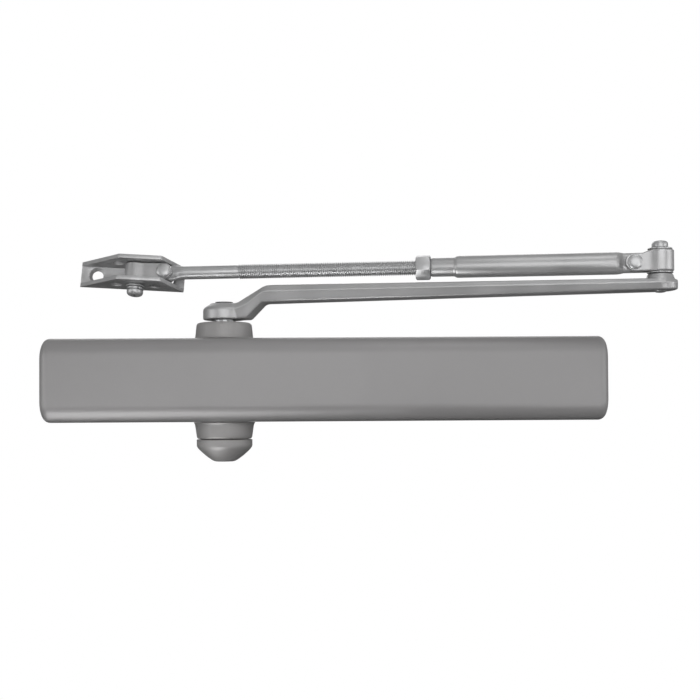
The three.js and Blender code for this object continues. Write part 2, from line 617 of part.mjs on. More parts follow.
// The gear's outline, with a gap between two teeth facing +Y.
function gearOutline() {
  const steps = [0, 0.3, 0.55, 0.8, 1];
  const radii = steps.map((step) => GEAR_ROOT + (GEAR_OUTER - GEAR_ROOT) * step);
  const corners = [];
  for (let tooth = 0; tooth < GEAR_TEETH; tooth += 1) {
    const centre = ((tooth + 0.5) * 2 * Math.PI) / GEAR_TEETH + Math.PI / 2;
    const rising = radii.map((radius) => [radius, centre - toothHalfAngle(radius)]);
    const falling = radii.map((radius) => [radius, centre + toothHalfAngle(radius)]);
    corners.push(...rising, ...falling.reverse());
  }
  return polygon(corners);
}

// A round bar with four flats, turned about Z.
function squaredBar(flats, radius, from, to, turn = 0) {
  const square = new THREE.BoxGeometry(flats, flats, to - from);
  square.rotateZ(turn).translate(0, 0, (from + to) / 2);
  return bar('z', radius, from, to).intersect(solid(square));
}

const THREAD_RADIUS = 2.5; // arm screw
const ARM_SCREW_DEPTH = 12;

function pinion() {
  let shaft = bar('z', SHAFT_RADIUS, CAP_TOP, BOSS_BOTTOM - GAP);
  shaft = shaft.add(slab(gearOutline(), -GEAR_HALF_WIDTH, GEAR_HALF_WIDTH));
  const armEnd = [BOSS_BOTTOM - GAP, SHAFT_TOP];
  shaft = shaft.add(squaredBar(SHAFT_FLATS, SHAFT_RADIUS, ...armEnd, ARM_ANGLE));
  shaft = shaft.add(squaredBar(SHAFT_FLATS, SHAFT_RADIUS, SHAFT_BOTTOM, CAP_TOP));
  const hole = [SHAFT_TOP - ARM_SCREW_DEPTH - GAP, SHAFT_TOP + 1];
  return shaft.subtract(bar('z', THREAD_RADIUS + GAP, ...hole, [0, 0, 0], 16));
}

add(spindle, 'pinion', pinion(), STEEL);

const BUSH_INSET = 0.5; // from the inner end of the collar's neck
const LIP_SEAL_INSET = 1.2; // from the outer face of the collar

// A ring on the shaft; side is 1 at the top and -1 at the bottom.
function shaftRing(side, from, to) {
  const span = [side * from, side * to].sort((a, b) => a - b);
  return ring('z', SHAFT_RADIUS + GAP, BUSH_OUTER, ...span);
}

function bearing(side) {
  const from = NECK_INNER_END + BUSH_INSET;
  return shaftRing(side, from, from + BUSH_LENGTH);
}

function lipSeal(side) {
  const to = COLLAR_TOP - LIP_SEAL_INSET;
  return shaftRing(side, to - LIP_SEAL_HEIGHT, to);
}

function collar(side, baseRadius) {
  const points = [
    [COLLAR_BORE, NECK_INNER_END],
    [NECK_RADIUS, NECK_INNER_END],
    [NECK_RADIUS, COLLAR_BASE],
    [baseRadius - COLLAR_EDGE, COLLAR_BASE],
    [baseRadius, COLLAR_BASE + COLLAR_EDGE],
    [COLLAR_TOP_RADIUS, COLLAR_TOP - COLLAR_EDGE],
    [COLLAR_TOP_RADIUS - COLLAR_EDGE, COLLAR_TOP],
    [COLLAR_BORE, COLLAR_TOP],
  ];
  const placed = points.map(([radius, height]) => [radius, side * height]);
  return turned('z', side > 0 ? placed : placed.reverse(), [0, 0, 0], 28);
}

add(spindle, 'upper_bearing', bearing(1), BRONZE);
add(spindle, 'lower_bearing', bearing(-1), BRONZE);
add(spindle, 'upper_shaft_seal', lipSeal(1), RUBBER);
add(spindle, 'lower_shaft_seal', lipSeal(-1), RUBBER);
add(spindle, 'upper_collar', collar(1, COLLAR_RADIUS), COLLAR_PAINT);
add(spindle, 'lower_collar', collar(-1, LOWER_COLLAR_RADIUS), COLLAR_PAINT);

function pinionCap() {
  const bore = SHAFT_RADIUS + GAP;
  const sideBottom = CAP_TOP - CAP_SIDE;
  return turned('z', [
    [0, CAP_BOTTOM],
    [CAP_FLAT_RADIUS, CAP_BOTTOM],
    [CAP_FLAT_RADIUS + 2.6, CAP_BOTTOM + 1],
    [CAP_FLAT_RADIUS + 6, CAP_BOTTOM + 3.9],
    [CAP_RADIUS - 1.9, sideBottom - 2.9],
    [CAP_RADIUS - 0.4, sideBottom - 0.8],
    [CAP_RADIUS, sideBottom + 0.6],
    [CAP_RADIUS, CAP_TOP],
    [bore, CAP_TOP],
    [bore, CAP_BOTTOM + CAP_FLOOR],
    [0, CAP_BOTTOM + CAP_FLOOR],
  ], [0, 0, 0], 28);
}

add(spindle, 'pinion_cap', pinionCap(), COLLAR_PAINT);

// ---- Main arm ---------------------------------------------------------------------------------

const mainArm = new THREE.Group();
mainArm.rotation.z = ARM_ANGLE;
spindle.add(mainArm);

const RECESS_RADIUS = 7.5;
const BOSS_RIM = 1.5; // flat rim round the recess, on the crank's side
const CRANK_LAG = 3.5; // the crank's underside ends this much nearer to the boss than its top
const ARM_SCREW_HEAD_RADIUS = 5;
const ARM_SCREW_HEX = 5;
const ARM_WASHER = 0.9;

function armBar() {
  const side = outline([
    [2, BOSS_BOTTOM],
    [CRANK_START, BOSS_BOTTOM, 1],
    [CRANK_END - CRANK_LAG, ARM_ROOT_BOTTOM, 4],
    [ARM_LENGTH, ARM_TIP_BOTTOM],
    [ARM_LENGTH + ARM_TIP_WIDTH / 2, ARM_TIP_BOTTOM, 2],
    [ARM_LENGTH + ARM_TIP_WIDTH / 2, ARM_TIP_TOP, 2],
    [ARM_LENGTH, ARM_TIP_TOP],
    [CRANK_END, ARM_ROOT_TOP, 6],
    [RECESS_RADIUS + BOSS_RIM, BOSS_TOP - 0.3],
    [2, BOSS_TOP - 0.3],
  ]);
  const root = ARM_ROOT_WIDTH / 2;
  const tip = ARM_TIP_WIDTH / 2;
  const plan = new THREE.Shape();
  plan.moveTo(2, -root);
  plan.lineTo(CRANK_END, -root);
  plan.lineTo(ARM_LENGTH, -tip);
  plan.absarc(ARM_LENGTH, 0, tip, -Math.PI / 2, Math.PI / 2);
  plan.lineTo(CRANK_END, root);
  plan.lineTo(2, root);
  const bothSides = crosswise(side, -root - 1, root + 1);
  return bothSides.intersect(slab(plan, BOSS_BOTTOM - 1, ARM_ROOT_TOP + 1, 12));
}

function armBoss() {
  const shoulder = BOSS_BOTTOM + ARM_BOSS_SIDE;
  return turned('z', [
    [0, BOSS_BOTTOM],
    [ARM_BOSS_RADIUS - 0.5, BOSS_BOTTOM],
    [ARM_BOSS_RADIUS, BOSS_BOTTOM + 0.5],
    [ARM_BOSS_RADIUS, shoulder],
    [ARM_BOSS_RADIUS - 0.6, shoulder + 0.8],
    [RECESS_RADIUS + 1, BOSS_TOP - 1],
    [RECESS_RADIUS, BOSS_TOP],
    [0, BOSS_TOP],
  ], [0, 0, 0], 28);
}

function elbowBoss() {
  return turned('z', [
    [0, ARM_TIP_TOP - 2],
    [ELBOW_BOSS_RADIUS, ARM_TIP_TOP - 2],
    [ELBOW_BOSS_RADIUS, ELBOW_BOSS_TOP - 2.1],
    [ELBOW_BOSS_RADIUS - 0.5, ELBOW_BOSS_TOP - 0.7],
    [ELBOW_BOSS_RADIUS - 1.3, ELBOW_BOSS_TOP],
    [0, ELBOW_BOSS_TOP],
  ], [ARM_LENGTH, 0, 0], 24);
}

function mainArmSolid() {
  let arm = armBar().add(armBoss()).add(elbowBoss());
  const square = squaredBar(SHAFT_FLATS + 2 * GAP, SHAFT_RADIUS + GAP, BOSS_BOTTOM - 1, BOSS_TOP);
  arm = arm.subtract(square);
  arm = arm.subtract(bar('z', RECESS_RADIUS, BOSS_SHOULDER, BOSS_TOP + 12));
  const elbowAt = [ARM_LENGTH, 0, 0];
  return arm.subtract(bar('z', ELBOW_PIN_RADIUS + GAP, ARM_TIP_BOTTOM - 1, FOREARM_Z, elbowAt, 24));
}

add(mainArm, 'main_arm', mainArmSolid(), ARM_PAINT);

const armWasher = [BOSS_SHOULDER + GAP, BOSS_SHOULDER + GAP + ARM_WASHER];
add(mainArm, 'arm_washer', ring('z', THREAD_RADIUS + GAP, RECESS_RADIUS - GAP, ...armWasher), ZINC);

function armScrew() {
  const seat = armWasher[1] + GAP;
  const top = BOSS_TOP - 0.2;
  let screw = bar('z', THREAD_RADIUS, SHAFT_TOP - ARM_SCREW_DEPTH, seat, [0, 0, 0], 16);
  screw = screw.add(bar('z', ARM_SCREW_HEAD_RADIUS, seat, top, [0, 0, 0], 16));
  return screw.subtract(slab(hexagon(ARM_SCREW_HEX), seat + SOCKET_FLOOR, top + 1));
}

add(mainArm, 'arm_screw', armScrew(), DARK_STEEL);

// ---- Elbow ------------------------------------------------------------------------------------

const elbow = new THREE.Group();
elbow.position.set(ARM_LENGTH * Math.cos(ARM_ANGLE), ARM_LENGTH * Math.sin(ARM_ANGLE), 0);
spindle.add(elbow);

const elbowHub = new THREE.Group(); // pieces centred on the elbow pin
elbow.add(elbowHub);

const PIN_HEAD_RADIUS = 4.3;
const PIN_HEAD_HEIGHT = 3.6;
const PIN_END_RADIUS = 2.6;
const PIN_END_OUT = 0.8; // the pin's lower end stands out of the arm
const TOP_WASHER_RADIUS = 6.5;

const topWasher = [STRAP_BEND_TOP + GAP, STRAP_BEND_TOP + GAP + ELBOW_WASHER];
const bottomWasher = [STRAP_BOTTOM - GAP - ELBOW_WASHER, STRAP_BOTTOM - GAP];

function elbowPin() {
  const seat = topWasher[1] + GAP;
  const top = seat + PIN_HEAD_HEIGHT;
  return turned('z', [
    [0, ARM_TIP_BOTTOM - PIN_END_OUT],
    [PIN_END_RADIUS, ARM_TIP_BOTTOM - PIN_END_OUT],
    [ELBOW_PIN_RADIUS, ARM_TIP_BOTTOM],
    [ELBOW_PIN_RADIUS, seat],
    [PIN_HEAD_RADIUS, seat],
    [PIN_HEAD_RADIUS, top - 1.4],
    [PIN_HEAD_RADIUS - 0.9, top - 0.4],
    [2, top],
    [0, top],
  ], [0, 0, 0], 16);
}

add(elbowHub, 'elbow_pin', elbowPin(), ZINC);
const pinHole = ELBOW_PIN_RADIUS + GAP;
const overWasher = ring('z', pinHole, TOP_WASHER_RADIUS, ...topWasher, [0, 0, 0], 24);
const underWasher = ring('z', pinHole, ELBOW_BOSS_RADIUS, ...bottomWasher, [0, 0, 0], 24);
add(elbowHub, 'elbow_top_washer', overWasher, ZINC);
add(elbowHub, 'elbow_thrust_washer', underWasher, ZINC);

// A strap bent round a bush at the origin, with two legs along -X that hold a rivet.
// Its edges are at heights bottom and top; at the bend the top edge rises by flare.
function strap({ bendRadius, thickness, legHalf, reach, bottom, top, flare }) {
  const inner = bendRadius - thickness;
  const turn = THREE.MathUtils.degToRad(135);
  const end = -reach - (top - bottom) / 2;
  const plan = new THREE.Shape();
  plan.moveTo(end, legHalf + thickness);
  plan.lineTo(end, legHalf);
  plan.lineTo(-inner - 2.5, legHalf);
  plan.lineTo(inner * Math.cos(turn), inner * Math.sin(turn));
  plan.absarc(0, 0, inner, turn, -turn, true);
  plan.lineTo(-inner - 2.5, -legHalf);
  plan.lineTo(end, -legHalf);
  plan.lineTo(end, -legHalf - thickness);
  plan.lineTo(-bendRadius - 2, -legHalf - thickness);
  plan.lineTo(bendRadius * Math.cos(turn), -bendRadius * Math.sin(turn));
  plan.absarc(0, 0, bendRadius, -turn, turn, false);
  plan.lineTo(-bendRadius - 2, legHalf + thickness);
  const side = new THREE.Shape();
  const half = (top - bottom) / 2;
  const middle = (top + bottom) / 2;
  side.moveTo(-reach, bottom);
  side.lineTo(bendRadius + 1, bottom);
  side.lineTo(bendRadius + 1, top + flare);
  side.lineTo(-bendRadius * 0.8, top + flare);
  side.lineTo(-bendRadius - 2, top);
  side.lineTo(-reach, top);
  side.absarc(-reach, middle, half, Math.PI / 2, 1.5 * Math.PI, false);
  const width = bendRadius + 3;
  const standing = slab(plan, bottom - 1, top + flare + 1, 12);
  const body = standing.intersect(crosswise(side, -width, width, 12));
  const hole = bar('y', RIVET_RADIUS + GAP, -width, width, [-reach, 0, middle], 16);
  return body.subtract(hole);
}

function rivet(reach, outside, height) {
  const shank = bar('y', RIVET_RADIUS, -outside - 1, outside + 1, [-reach, 0, height], 16);
  const seat = outside + GAP;
  const head = (side) => {
    const points = [
      [0, side * seat],
      [RIVET_HEAD_RADIUS, side * seat],
      [RIVET_HEAD_RADIUS, side * (seat + RIVET_HEAD_HEIGHT / 2)],
      [RIVET_HEAD_RADIUS - 1.2, side * (seat + RIVET_HEAD_HEIGHT)],
      [0, side * (seat + RIVET_HEAD_HEIGHT)],
    ];
    return turned('y', side > 0 ? points : points.reverse(), [-reach, 0, height], 16);
  };
  return shank.add(head(1)).add(head(-1));
}

const forearm = new THREE.Group(); // its -X runs from the elbow pin to the shoe pin
forearm.rotation.z = FOREARM_ANGLE;
elbow.add(forearm);

const LEG_HALF = EYE_HALF_THICKNESS + YOKE_GAP;

add(forearm, 'elbow_yoke', strap({
  bendRadius: ELBOW_BEND_RADIUS,
  thickness: ELBOW_STRAP,
  legHalf: LEG_HALF,
  reach: ELBOW_RIVET_REACH,
  bottom: STRAP_BOTTOM,
  top: STRAP_BOTTOM + ELBOW_STRAP_HEIGHT,
  flare: ELBOW_STRAP_FLARE,
}), ARM_PAINT);

const elbowBush = [ELBOW_PIN_RADIUS + GAP, ELBOW_BEND_RADIUS - ELBOW_STRAP - GAP];
const bushSpan = [STRAP_BOTTOM + GAP, STRAP_BEND_TOP - GAP];
add(elbowHub, 'elbow_bush', ring('z', ...elbowBush, ...bushSpan, [0, 0, 0], 16), BRONZE);
add(forearm, 'elbow_rivet', rivet(ELBOW_RIVET_REACH, LEG_HALF + ELBOW_STRAP, FOREARM_Z), ZINC);

// ---- Forearm tube, jam nut and rod ------------------------------------------------------------

const EYE_NOSE = TUBE_RADIUS - 0.6;
const FLAT_PAST_YOKE = 0.6; // the flattened end runs on past the end of the yoke's legs
const TUBE_FLARE = 3; // length over which the flattened end becomes round
const FLAT_END = ELBOW_RIVET_REACH + ELBOW_STRAP_HEIGHT / 2 + FLAT_PAST_YOKE;
const ROUND_START = FLAT_END + TUBE_FLARE;

function forearmTube() {
  const side = new THREE.Shape();
  side.moveTo(-ELBOW_RIVET_REACH, FOREARM_Z - EYE_NOSE);
  side.absarc(-ELBOW_RIVET_REACH, FOREARM_Z, EYE_NOSE, -Math.PI / 2, Math.PI / 2);
  side.lineTo(-ROUND_START, FOREARM_Z + TUBE_RADIUS);
  side.lineTo(-ROUND_START, FOREARM_Z - TUBE_RADIUS);
  const plan = new THREE.Shape();
  plan.moveTo(0, -EYE_HALF_THICKNESS);
  plan.lineTo(0, EYE_HALF_THICKNESS);
  plan.lineTo(-FLAT_END, EYE_HALF_THICKNESS);
  plan.lineTo(-ROUND_START, TUBE_RADIUS);
  plan.lineTo(-ROUND_START, -TUBE_RADIUS);
  plan.lineTo(-FLAT_END, -EYE_HALF_THICKNESS);
  const eyeBlock = crosswise(side, -TUBE_RADIUS, TUBE_RADIUS, 12);
  let eye = eyeBlock.intersect(slab(plan, FOREARM_Z - 10, FOREARM_Z + 10));
  eye = eye.intersect(bar('x', TUBE_RADIUS + 0.45, -ROUND_START, 0, [0, 0, FOREARM_Z]));
  const body = turned('x', [
    [0, -TUBE_END - TUBE_NECK_LENGTH],
    [TUBE_NECK_RADIUS - 0.4, -TUBE_END - TUBE_NECK_LENGTH],
    [TUBE_NECK_RADIUS, -TUBE_END - TUBE_NECK_LENGTH + 0.6],
    [TUBE_NECK_RADIUS, -TUBE_END - 0.9],
    [TUBE_RADIUS - 0.3, -TUBE_END],
    [TUBE_RADIUS, -TUBE_END + 0.8],
    [TUBE_RADIUS, -ROUND_START],
    [0, -ROUND_START],
  ], [0, 0, FOREARM_Z], 24);
  const mouth = -TUBE_END - TUBE_NECK_LENGTH;
  const bore = bar('x', ROD_RADIUS + GAP, mouth - 1, mouth + TUBE_BORE_DEPTH, [0, 0, FOREARM_Z], 24);
  const hole = bar('y', RIVET_RADIUS + GAP, -9, 9, [-ELBOW_RIVET_REACH, 0, FOREARM_Z], 16);
  return eye.add(body).subtract(bore).subtract(hole);
}

add(forearm, 'forearm_tube', forearmTube(), ARM_PAINT);

function jamNut() {
  const at = [0, 0, FOREARM_Z];
  const corner = NUT_FLATS / Math.sqrt(3);
  const chamfer = [
    [0, -NUT_END],
    [NUT_FLATS / 2 - 0.3, -NUT_END],
    [corner + 0.1, -NUT_END + 1],
    [corner + 0.1, -NUT_START - 1],
    [NUT_FLATS / 2 - 0.3, -NUT_START],
    [0, -NUT_START],
  ];
  const flats = lengthwise(hexagon(NUT_FLATS, NUT_TURN), -NUT_END - 1, -NUT_START + 1, at);
  const nut = flats.intersect(turned('x', chamfer, at, 20));
  return nut.subtract(bar('x', ROD_RADIUS + GAP, -NUT_END - 1, -NUT_START + 1, at, 16));
}

add(forearm, 'jam_nut', jamNut(), ZINC);

const rodGroup = new THREE.Group(); // turned about the forearm's own axis
rodGroup.position.z = FOREARM_Z;
rodGroup.rotation.x = ROD_ROLL;
forearm.add(rodGroup);

const ROD_FLARE = 4.5; // length over which the flattened end becomes round
const ROD_EYE_NOSE = SHOE_STRAP_HEIGHT / 2 - 0.3;
const ROD_FLAT_END = SHOE_RIVET_X + SHOE_STRAP_HEIGHT / 2 + FLAT_PAST_YOKE;
const ROD_ROUND_START = ROD_FLAT_END + ROD_FLARE;
const ROD_INNER_END = -TUBE_END - TUBE_NECK_LENGTH + ROD_IN_TUBE;

function forearmRod() {
  const side = new THREE.Shape();
  side.moveTo(SHOE_RIVET_X, ROD_EYE_NOSE);
  side.absarc(SHOE_RIVET_X, 0, ROD_EYE_NOSE, Math.PI / 2, 1.5 * Math.PI);
  side.lineTo(ROD_ROUND_START, -ROD_RADIUS);
  side.lineTo(ROD_ROUND_START, ROD_RADIUS);
  const plan = new THREE.Shape();
  plan.moveTo(SHOE_RIVET_X - ROD_EYE_NOSE, EYE_HALF_THICKNESS);
  plan.lineTo(SHOE_RIVET_X - ROD_EYE_NOSE, -EYE_HALF_THICKNESS);
  plan.lineTo(ROD_FLAT_END, -EYE_HALF_THICKNESS);
  plan.lineTo(ROD_ROUND_START, -ROD_RADIUS);
  plan.lineTo(ROD_ROUND_START, ROD_RADIUS);
  plan.lineTo(ROD_FLAT_END, EYE_HALF_THICKNESS);
  let eye = crosswise(side, -ROD_RADIUS, ROD_RADIUS, 12).intersect(slab(plan, -9, 9));
  eye = eye.subtract(bar('y', RIVET_RADIUS + GAP, -9, 9, [SHOE_RIVET_X, 0, 0], 16));
  return eye.add(bar('x', ROD_RADIUS, ROD_ROUND_START, ROD_INNER_END, [0, 0, 0], 16));
}

add(rodGroup, 'forearm_rod', forearmRod(), ZINC);

// ---- Shoe and its yoke ------------------------------------------------------------------------

const tilt = new THREE.Group(); // turned about the shoe rivet
tilt.position.x = SHOE_RIVET_X;
tilt.rotation.y = SHOE_TILT;
rodGroup.add(tilt);

const shoePin = new THREE.Group(); // at the shoe pin
shoePin.position.x = -SHOE_RIVET_REACH;
tilt.add(shoePin);

const shoeYoke = strap({
  bendRadius: SHOE_BEND_RADIUS,
  thickness: SHOE_STRAP,
  legHalf: LEG_HALF,
  reach: SHOE_RIVET_REACH,
  bottom: -SHOE_STRAP_HEIGHT / 2,
  top: SHOE_STRAP_HEIGHT / 2,
  flare: 0,
});
const shoeLegs = new THREE.Group(); // turned round, because the legs point back at the elbow
shoeLegs.rotation.z = Math.PI;
shoePin.add(shoeLegs);
add(shoeLegs, 'shoe_yoke', shoeYoke, ARM_PAINT);
const shoeBush = [SHOE_PIN_RADIUS + GAP, SHOE_BEND_RADIUS - SHOE_STRAP - GAP];
const shoeBushSpan = [-SHOE_STRAP_HEIGHT / 2 + GAP, SHOE_STRAP_HEIGHT / 2 - GAP];
add(shoePin, 'shoe_bush', ring('z', ...shoeBush, ...shoeBushSpan, [0, 0, 0], 16), BRONZE);
add(tilt, 'shoe_rivet', rivet(0, LEG_HALF + SHOE_STRAP, 0), ZINC);

const shoe = new THREE.Group(); // swivelled so that its web is parallel to the door
shoe.rotation.z = -FOREARM_ANGLE;
shoePin.add(shoe);

function shoeBracket() {
  const back = SHOE_DEPTH / 2;
  const front = -SHOE_DEPTH / 2;
  const webFront = back - SHOE_SHEET;
  const flange = outline([
    [-SHOE_LEFT, back],
    [-SHOE_LEFT, webFront - 0.6, 1],
    [-SHOE_FLAT_LEFT, front, 1.5],
    [SHOE_FLAT_RIGHT, front, 1.5],
    [SHOE_RIGHT, webFront - 0.6, 1],
    [SHOE_RIGHT, back],
  ]);
  let bracket = block([-SHOE_LEFT, SHOE_RIGHT], [webFront, back], [-SHOE_OUTER, SHOE_OUTER]);
  bracket = bracket.add(slab(flange, SHOE_INNER, SHOE_OUTER));
  bracket = bracket.add(slab(flange, -SHOE_OUTER, -SHOE_INNER));
  for (const x of [-SHOE_HOLE_SPACING, 0, SHOE_HOLE_SPACING]) {
    const at = [x, 0, 0];
    bracket = bracket.subtract(bar('z', SHOE_HOLE_RADIUS, -SHOE_OUTER - 1, SHOE_OUTER + 1, at, 16));
  }
  for (const x of [-SHOE_LEFT + SHOE_SCREW_INSET, SHOE_RIGHT - SHOE_SCREW_INSET]) {
    const sink = turned('y', [
      [0, webFront - 0.5],
      [SHOE_SINK_RADIUS + 0.5, webFront - 0.5],
      [SHOE_SCREW_HOLE_RADIUS, webFront + SHOE_SINK_RADIUS - SHOE_SCREW_HOLE_RADIUS],
      [SHOE_SCREW_HOLE_RADIUS, back + 1],
      [0, back + 1],
    ], [x, 0, 0], 16);
    bracket = bracket.subtract(sink);
  }
  return bracket;
}

add(shoe, 'shoe_bracket', shoeBracket(), ARM_PAINT);

const FLAT_WASHER = [5.2, 0.8]; // outer radius and thickness
const LOCK_WASHER = [4.7, 1.3];
const PIVOT_HEAD_RADIUS = 4.6;
const PIVOT_HEAD_HEIGHT = 3.4;
const RECESS_HALF_WIDTH = 0.6; // of the head's crossed slots
const RECESS_REACH = 3;
const RECESS_DEPTH = 1.6;

const flatWasher = [-SHOE_OUTER - GAP - FLAT_WASHER[1], -SHOE_OUTER - GAP];
const lockWasher = [flatWasher[0] - GAP - LOCK_WASHER[1], flatWasher[0] - GAP];
const shoeScrewSeat = lockWasher[0] - GAP;
const screwHole = SHOE_PIN_RADIUS + GAP;
const flatRing = ring('z', screwHole, FLAT_WASHER[0], ...flatWasher, [0, 0, 0], 16);
const lockRing = ring('z', screwHole, LOCK_WASHER[0], ...lockWasher, [0, 0, 0], 16);
add(shoe, 'shoe_flat_washer', flatRing, ZINC);
add(shoe, 'shoe_lock_washer', lockRing, ZINC);

function shoePivotScrew() {
  const bottom = shoeScrewSeat - PIVOT_HEAD_HEIGHT;
  const screw = turned('z', [
    [0, bottom],
    [PIVOT_HEAD_RADIUS - 2.2, bottom],
    [PIVOT_HEAD_RADIUS - 0.6, bottom + 0.8],
    [PIVOT_HEAD_RADIUS, bottom + 2.2],
    [PIVOT_HEAD_RADIUS, shoeScrewSeat],
    [SHOE_PIN_RADIUS, shoeScrewSeat],
    [SHOE_PIN_RADIUS, SHOE_OUTER + 0.6],
    [SHOE_PIN_RADIUS - 0.5, SHOE_OUTER + 1.2],
    [0, SHOE_OUTER + 1.2],
  ], [0, 0, 0], 16);
  const across = [-RECESS_HALF_WIDTH, RECESS_HALF_WIDTH];
  const reach = [-RECESS_REACH, RECESS_REACH];
  const deep = [bottom - 1, bottom + RECESS_DEPTH];
  return screw.subtract(block(across, reach, deep)).subtract(block(reach, across, deep));
}

add(shoe, 'shoe_pivot_screw', shoePivotScrew(), ZINC);

// ---- Cover and its clips ----------------------------------------------------------------------

const NECK_SLOT_GAP = 1; // between the collar's neck and the cover's slot

// The outside of the cover, made smaller all round by `inset`, with its back at `back`.
function coverShell(inset, back) {
  const left = COVER_LEFT + inset;
  const right = COVER_RIGHT - inset;
  const top = COVER_TOP - inset;
  const front = COVER_FRONT + inset;
  const longEdge = COVER_LONG_EDGE - inset;
  const corner = COVER_END_CORNER - inset;
  const endEdge = COVER_END_EDGE - inset;
  const section = outline([
    [front, -top, longEdge],
    [back, -top],
    [back, top],
    [front, top, longEdge],
  ]);
  const face = outline([
    [left, -top, corner],
    [right, -top, corner],
    [right, top, corner],
    [left, top, corner],
  ]);
  const plan = outline([
    [left, front, endEdge],
    [right, front, endEdge],
    [right, back],
    [left, back],
  ]);
  const body = lengthwise(section, left - 1, right + 1, [0, 0, 0], 12);
  return body.intersect(crosswise(face, front - 1, back, 8)).intersect(slab(plan, -top, top, 8));
}

function cover() {
  const rim = -COVER_RIM_GAP;
  let shell = coverShell(0, rim).subtract(coverShell(COVER_WALL, rim + 5));
  const slot = NECK_RADIUS + NECK_SLOT_GAP;
  shell = shell.subtract(bar('z', slot, -COVER_TOP - 1, COVER_TOP + 1, [0, AXIS_Y, 0], 40));
  return shell.subtract(block([-slot, slot], [AXIS_Y, 1], [-COVER_TOP - 1, COVER_TOP + 1]));
}

add(closer, 'cover', cover(), COVER_PAINT);

// An L-shaped spring clip on the mounting foot, its upright beside the cover's end wall.
function coverClip(end, side) {
  const floor = -FOOT_THICKNESS - GAP;
  const outside = end;
  const inside = end - side * CLIP_LENGTH;
  const span = (a, b) => [Math.min(a, b), Math.max(a, b)];
  const wide = [-CLIP_HALF_WIDTH, CLIP_HALF_WIDTH];
  let clip = block(span(outside, inside), [floor - CLIP_SHEET, floor], wide);
  const upright = span(outside, outside - side * CLIP_SHEET);
  clip = clip.add(block(upright, [floor - CLIP_UPRIGHT, floor], wide));
  const at = [end - side * CLIP_SCREW_INSET, 0, 0];
  return clip.subtract(bar('y', CLIP_SCREW_RADIUS + GAP, floor - 2, floor + 1, at, 16));
}

function clipScrew(end, side) {
  const seat = -FOOT_THICKNESS - CLIP_SHEET - 2 * GAP;
  const at = [end - side * CLIP_SCREW_INSET, 0, 0];
  const [radius, height] = CLIP_SCREW_HEAD;
  const head = bar('y', radius, seat - height, seat, at, 14);
  return bar('y', CLIP_SCREW_RADIUS, seat - height / 2, -1, at, 16).add(head);
}

add(closer, 'left_cover_clip', coverClip(FOOT_LEFT, -1), ZINC);
add(closer, 'left_clip_screw', clipScrew(FOOT_LEFT, -1), ZINC);
add(closer, 'right_cover_clip', coverClip(FOOT_RIGHT, 1), ZINC);
add(closer, 'right_clip_screw', clipScrew(FOOT_RIGHT, 1), ZINC);

export default closer;
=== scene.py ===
import json
import math

import bpy
from mathutils import Matrix, Vector


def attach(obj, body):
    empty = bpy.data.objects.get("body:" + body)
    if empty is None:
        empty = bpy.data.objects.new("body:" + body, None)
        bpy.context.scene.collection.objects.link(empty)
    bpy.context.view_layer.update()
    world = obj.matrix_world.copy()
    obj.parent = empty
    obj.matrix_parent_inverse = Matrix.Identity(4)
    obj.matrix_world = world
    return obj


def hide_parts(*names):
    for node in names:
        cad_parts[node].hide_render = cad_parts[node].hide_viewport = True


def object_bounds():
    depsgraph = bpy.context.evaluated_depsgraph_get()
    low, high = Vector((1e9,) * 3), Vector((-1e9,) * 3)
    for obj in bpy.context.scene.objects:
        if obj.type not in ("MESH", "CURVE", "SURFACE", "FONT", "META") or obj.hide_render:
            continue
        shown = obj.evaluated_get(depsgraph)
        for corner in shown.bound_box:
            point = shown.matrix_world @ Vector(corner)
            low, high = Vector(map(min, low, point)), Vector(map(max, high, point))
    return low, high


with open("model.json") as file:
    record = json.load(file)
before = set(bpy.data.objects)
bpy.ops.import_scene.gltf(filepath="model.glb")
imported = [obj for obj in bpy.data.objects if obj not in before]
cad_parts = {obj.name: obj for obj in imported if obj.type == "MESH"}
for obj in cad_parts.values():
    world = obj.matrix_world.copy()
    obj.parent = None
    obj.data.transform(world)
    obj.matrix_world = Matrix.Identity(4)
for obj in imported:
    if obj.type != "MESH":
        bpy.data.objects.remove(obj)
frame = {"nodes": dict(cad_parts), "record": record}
cad_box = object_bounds()

# ---- Camera ----------------------------------------------------------------------------------
# A long lens in front of the closer, level with its cover and a little below the arm, so that
# the cover shows its face only and the arm above it shows its underside.

MM = 0.001
EYE = Vector((0.0654, -0.686, -0.0186))
TILT_UP = math.radians(1.1)
ROLL = math.radians(0.34)
TURN = math.radians(-0.50)
FOCAL_LENGTH = 59.6
SENSOR_WIDTH = 36
SHIFT_UP = 0.0580

bpy.ops.object.select_all(action="DESELECT")
bpy.ops.object.camera_add(location=EYE, rotation=(math.pi / 2 + TILT_UP, ROLL, TURN))
camera = bpy.context.object
camera.name = "studio_camera"
camera.data.sensor_width = SENSOR_WIDTH
camera.data.lens = FOCAL_LENGTH
camera.data.shift_y = SHIFT_UP
camera.data.clip_start = 0.01
bpy.context.scene.camera = camera

# ---- Studio ----------------------------------------------------------------------------------
# White paper under the closer and white air round it. Most of the light comes from a wide soft
# box in front, a little above. Smaller ones stand overhead, low at both sides, by each end and
# behind.

FLOOR_DROP = 0.30
FLOOR_SIZE = 8.0
AIR_TOP = 0.34
AIR_BOTTOM = 0.05
AIR_HEIGHTS = (-0.6, 0.7)

bpy.context.scene.view_settings.view_transform = "Standard"

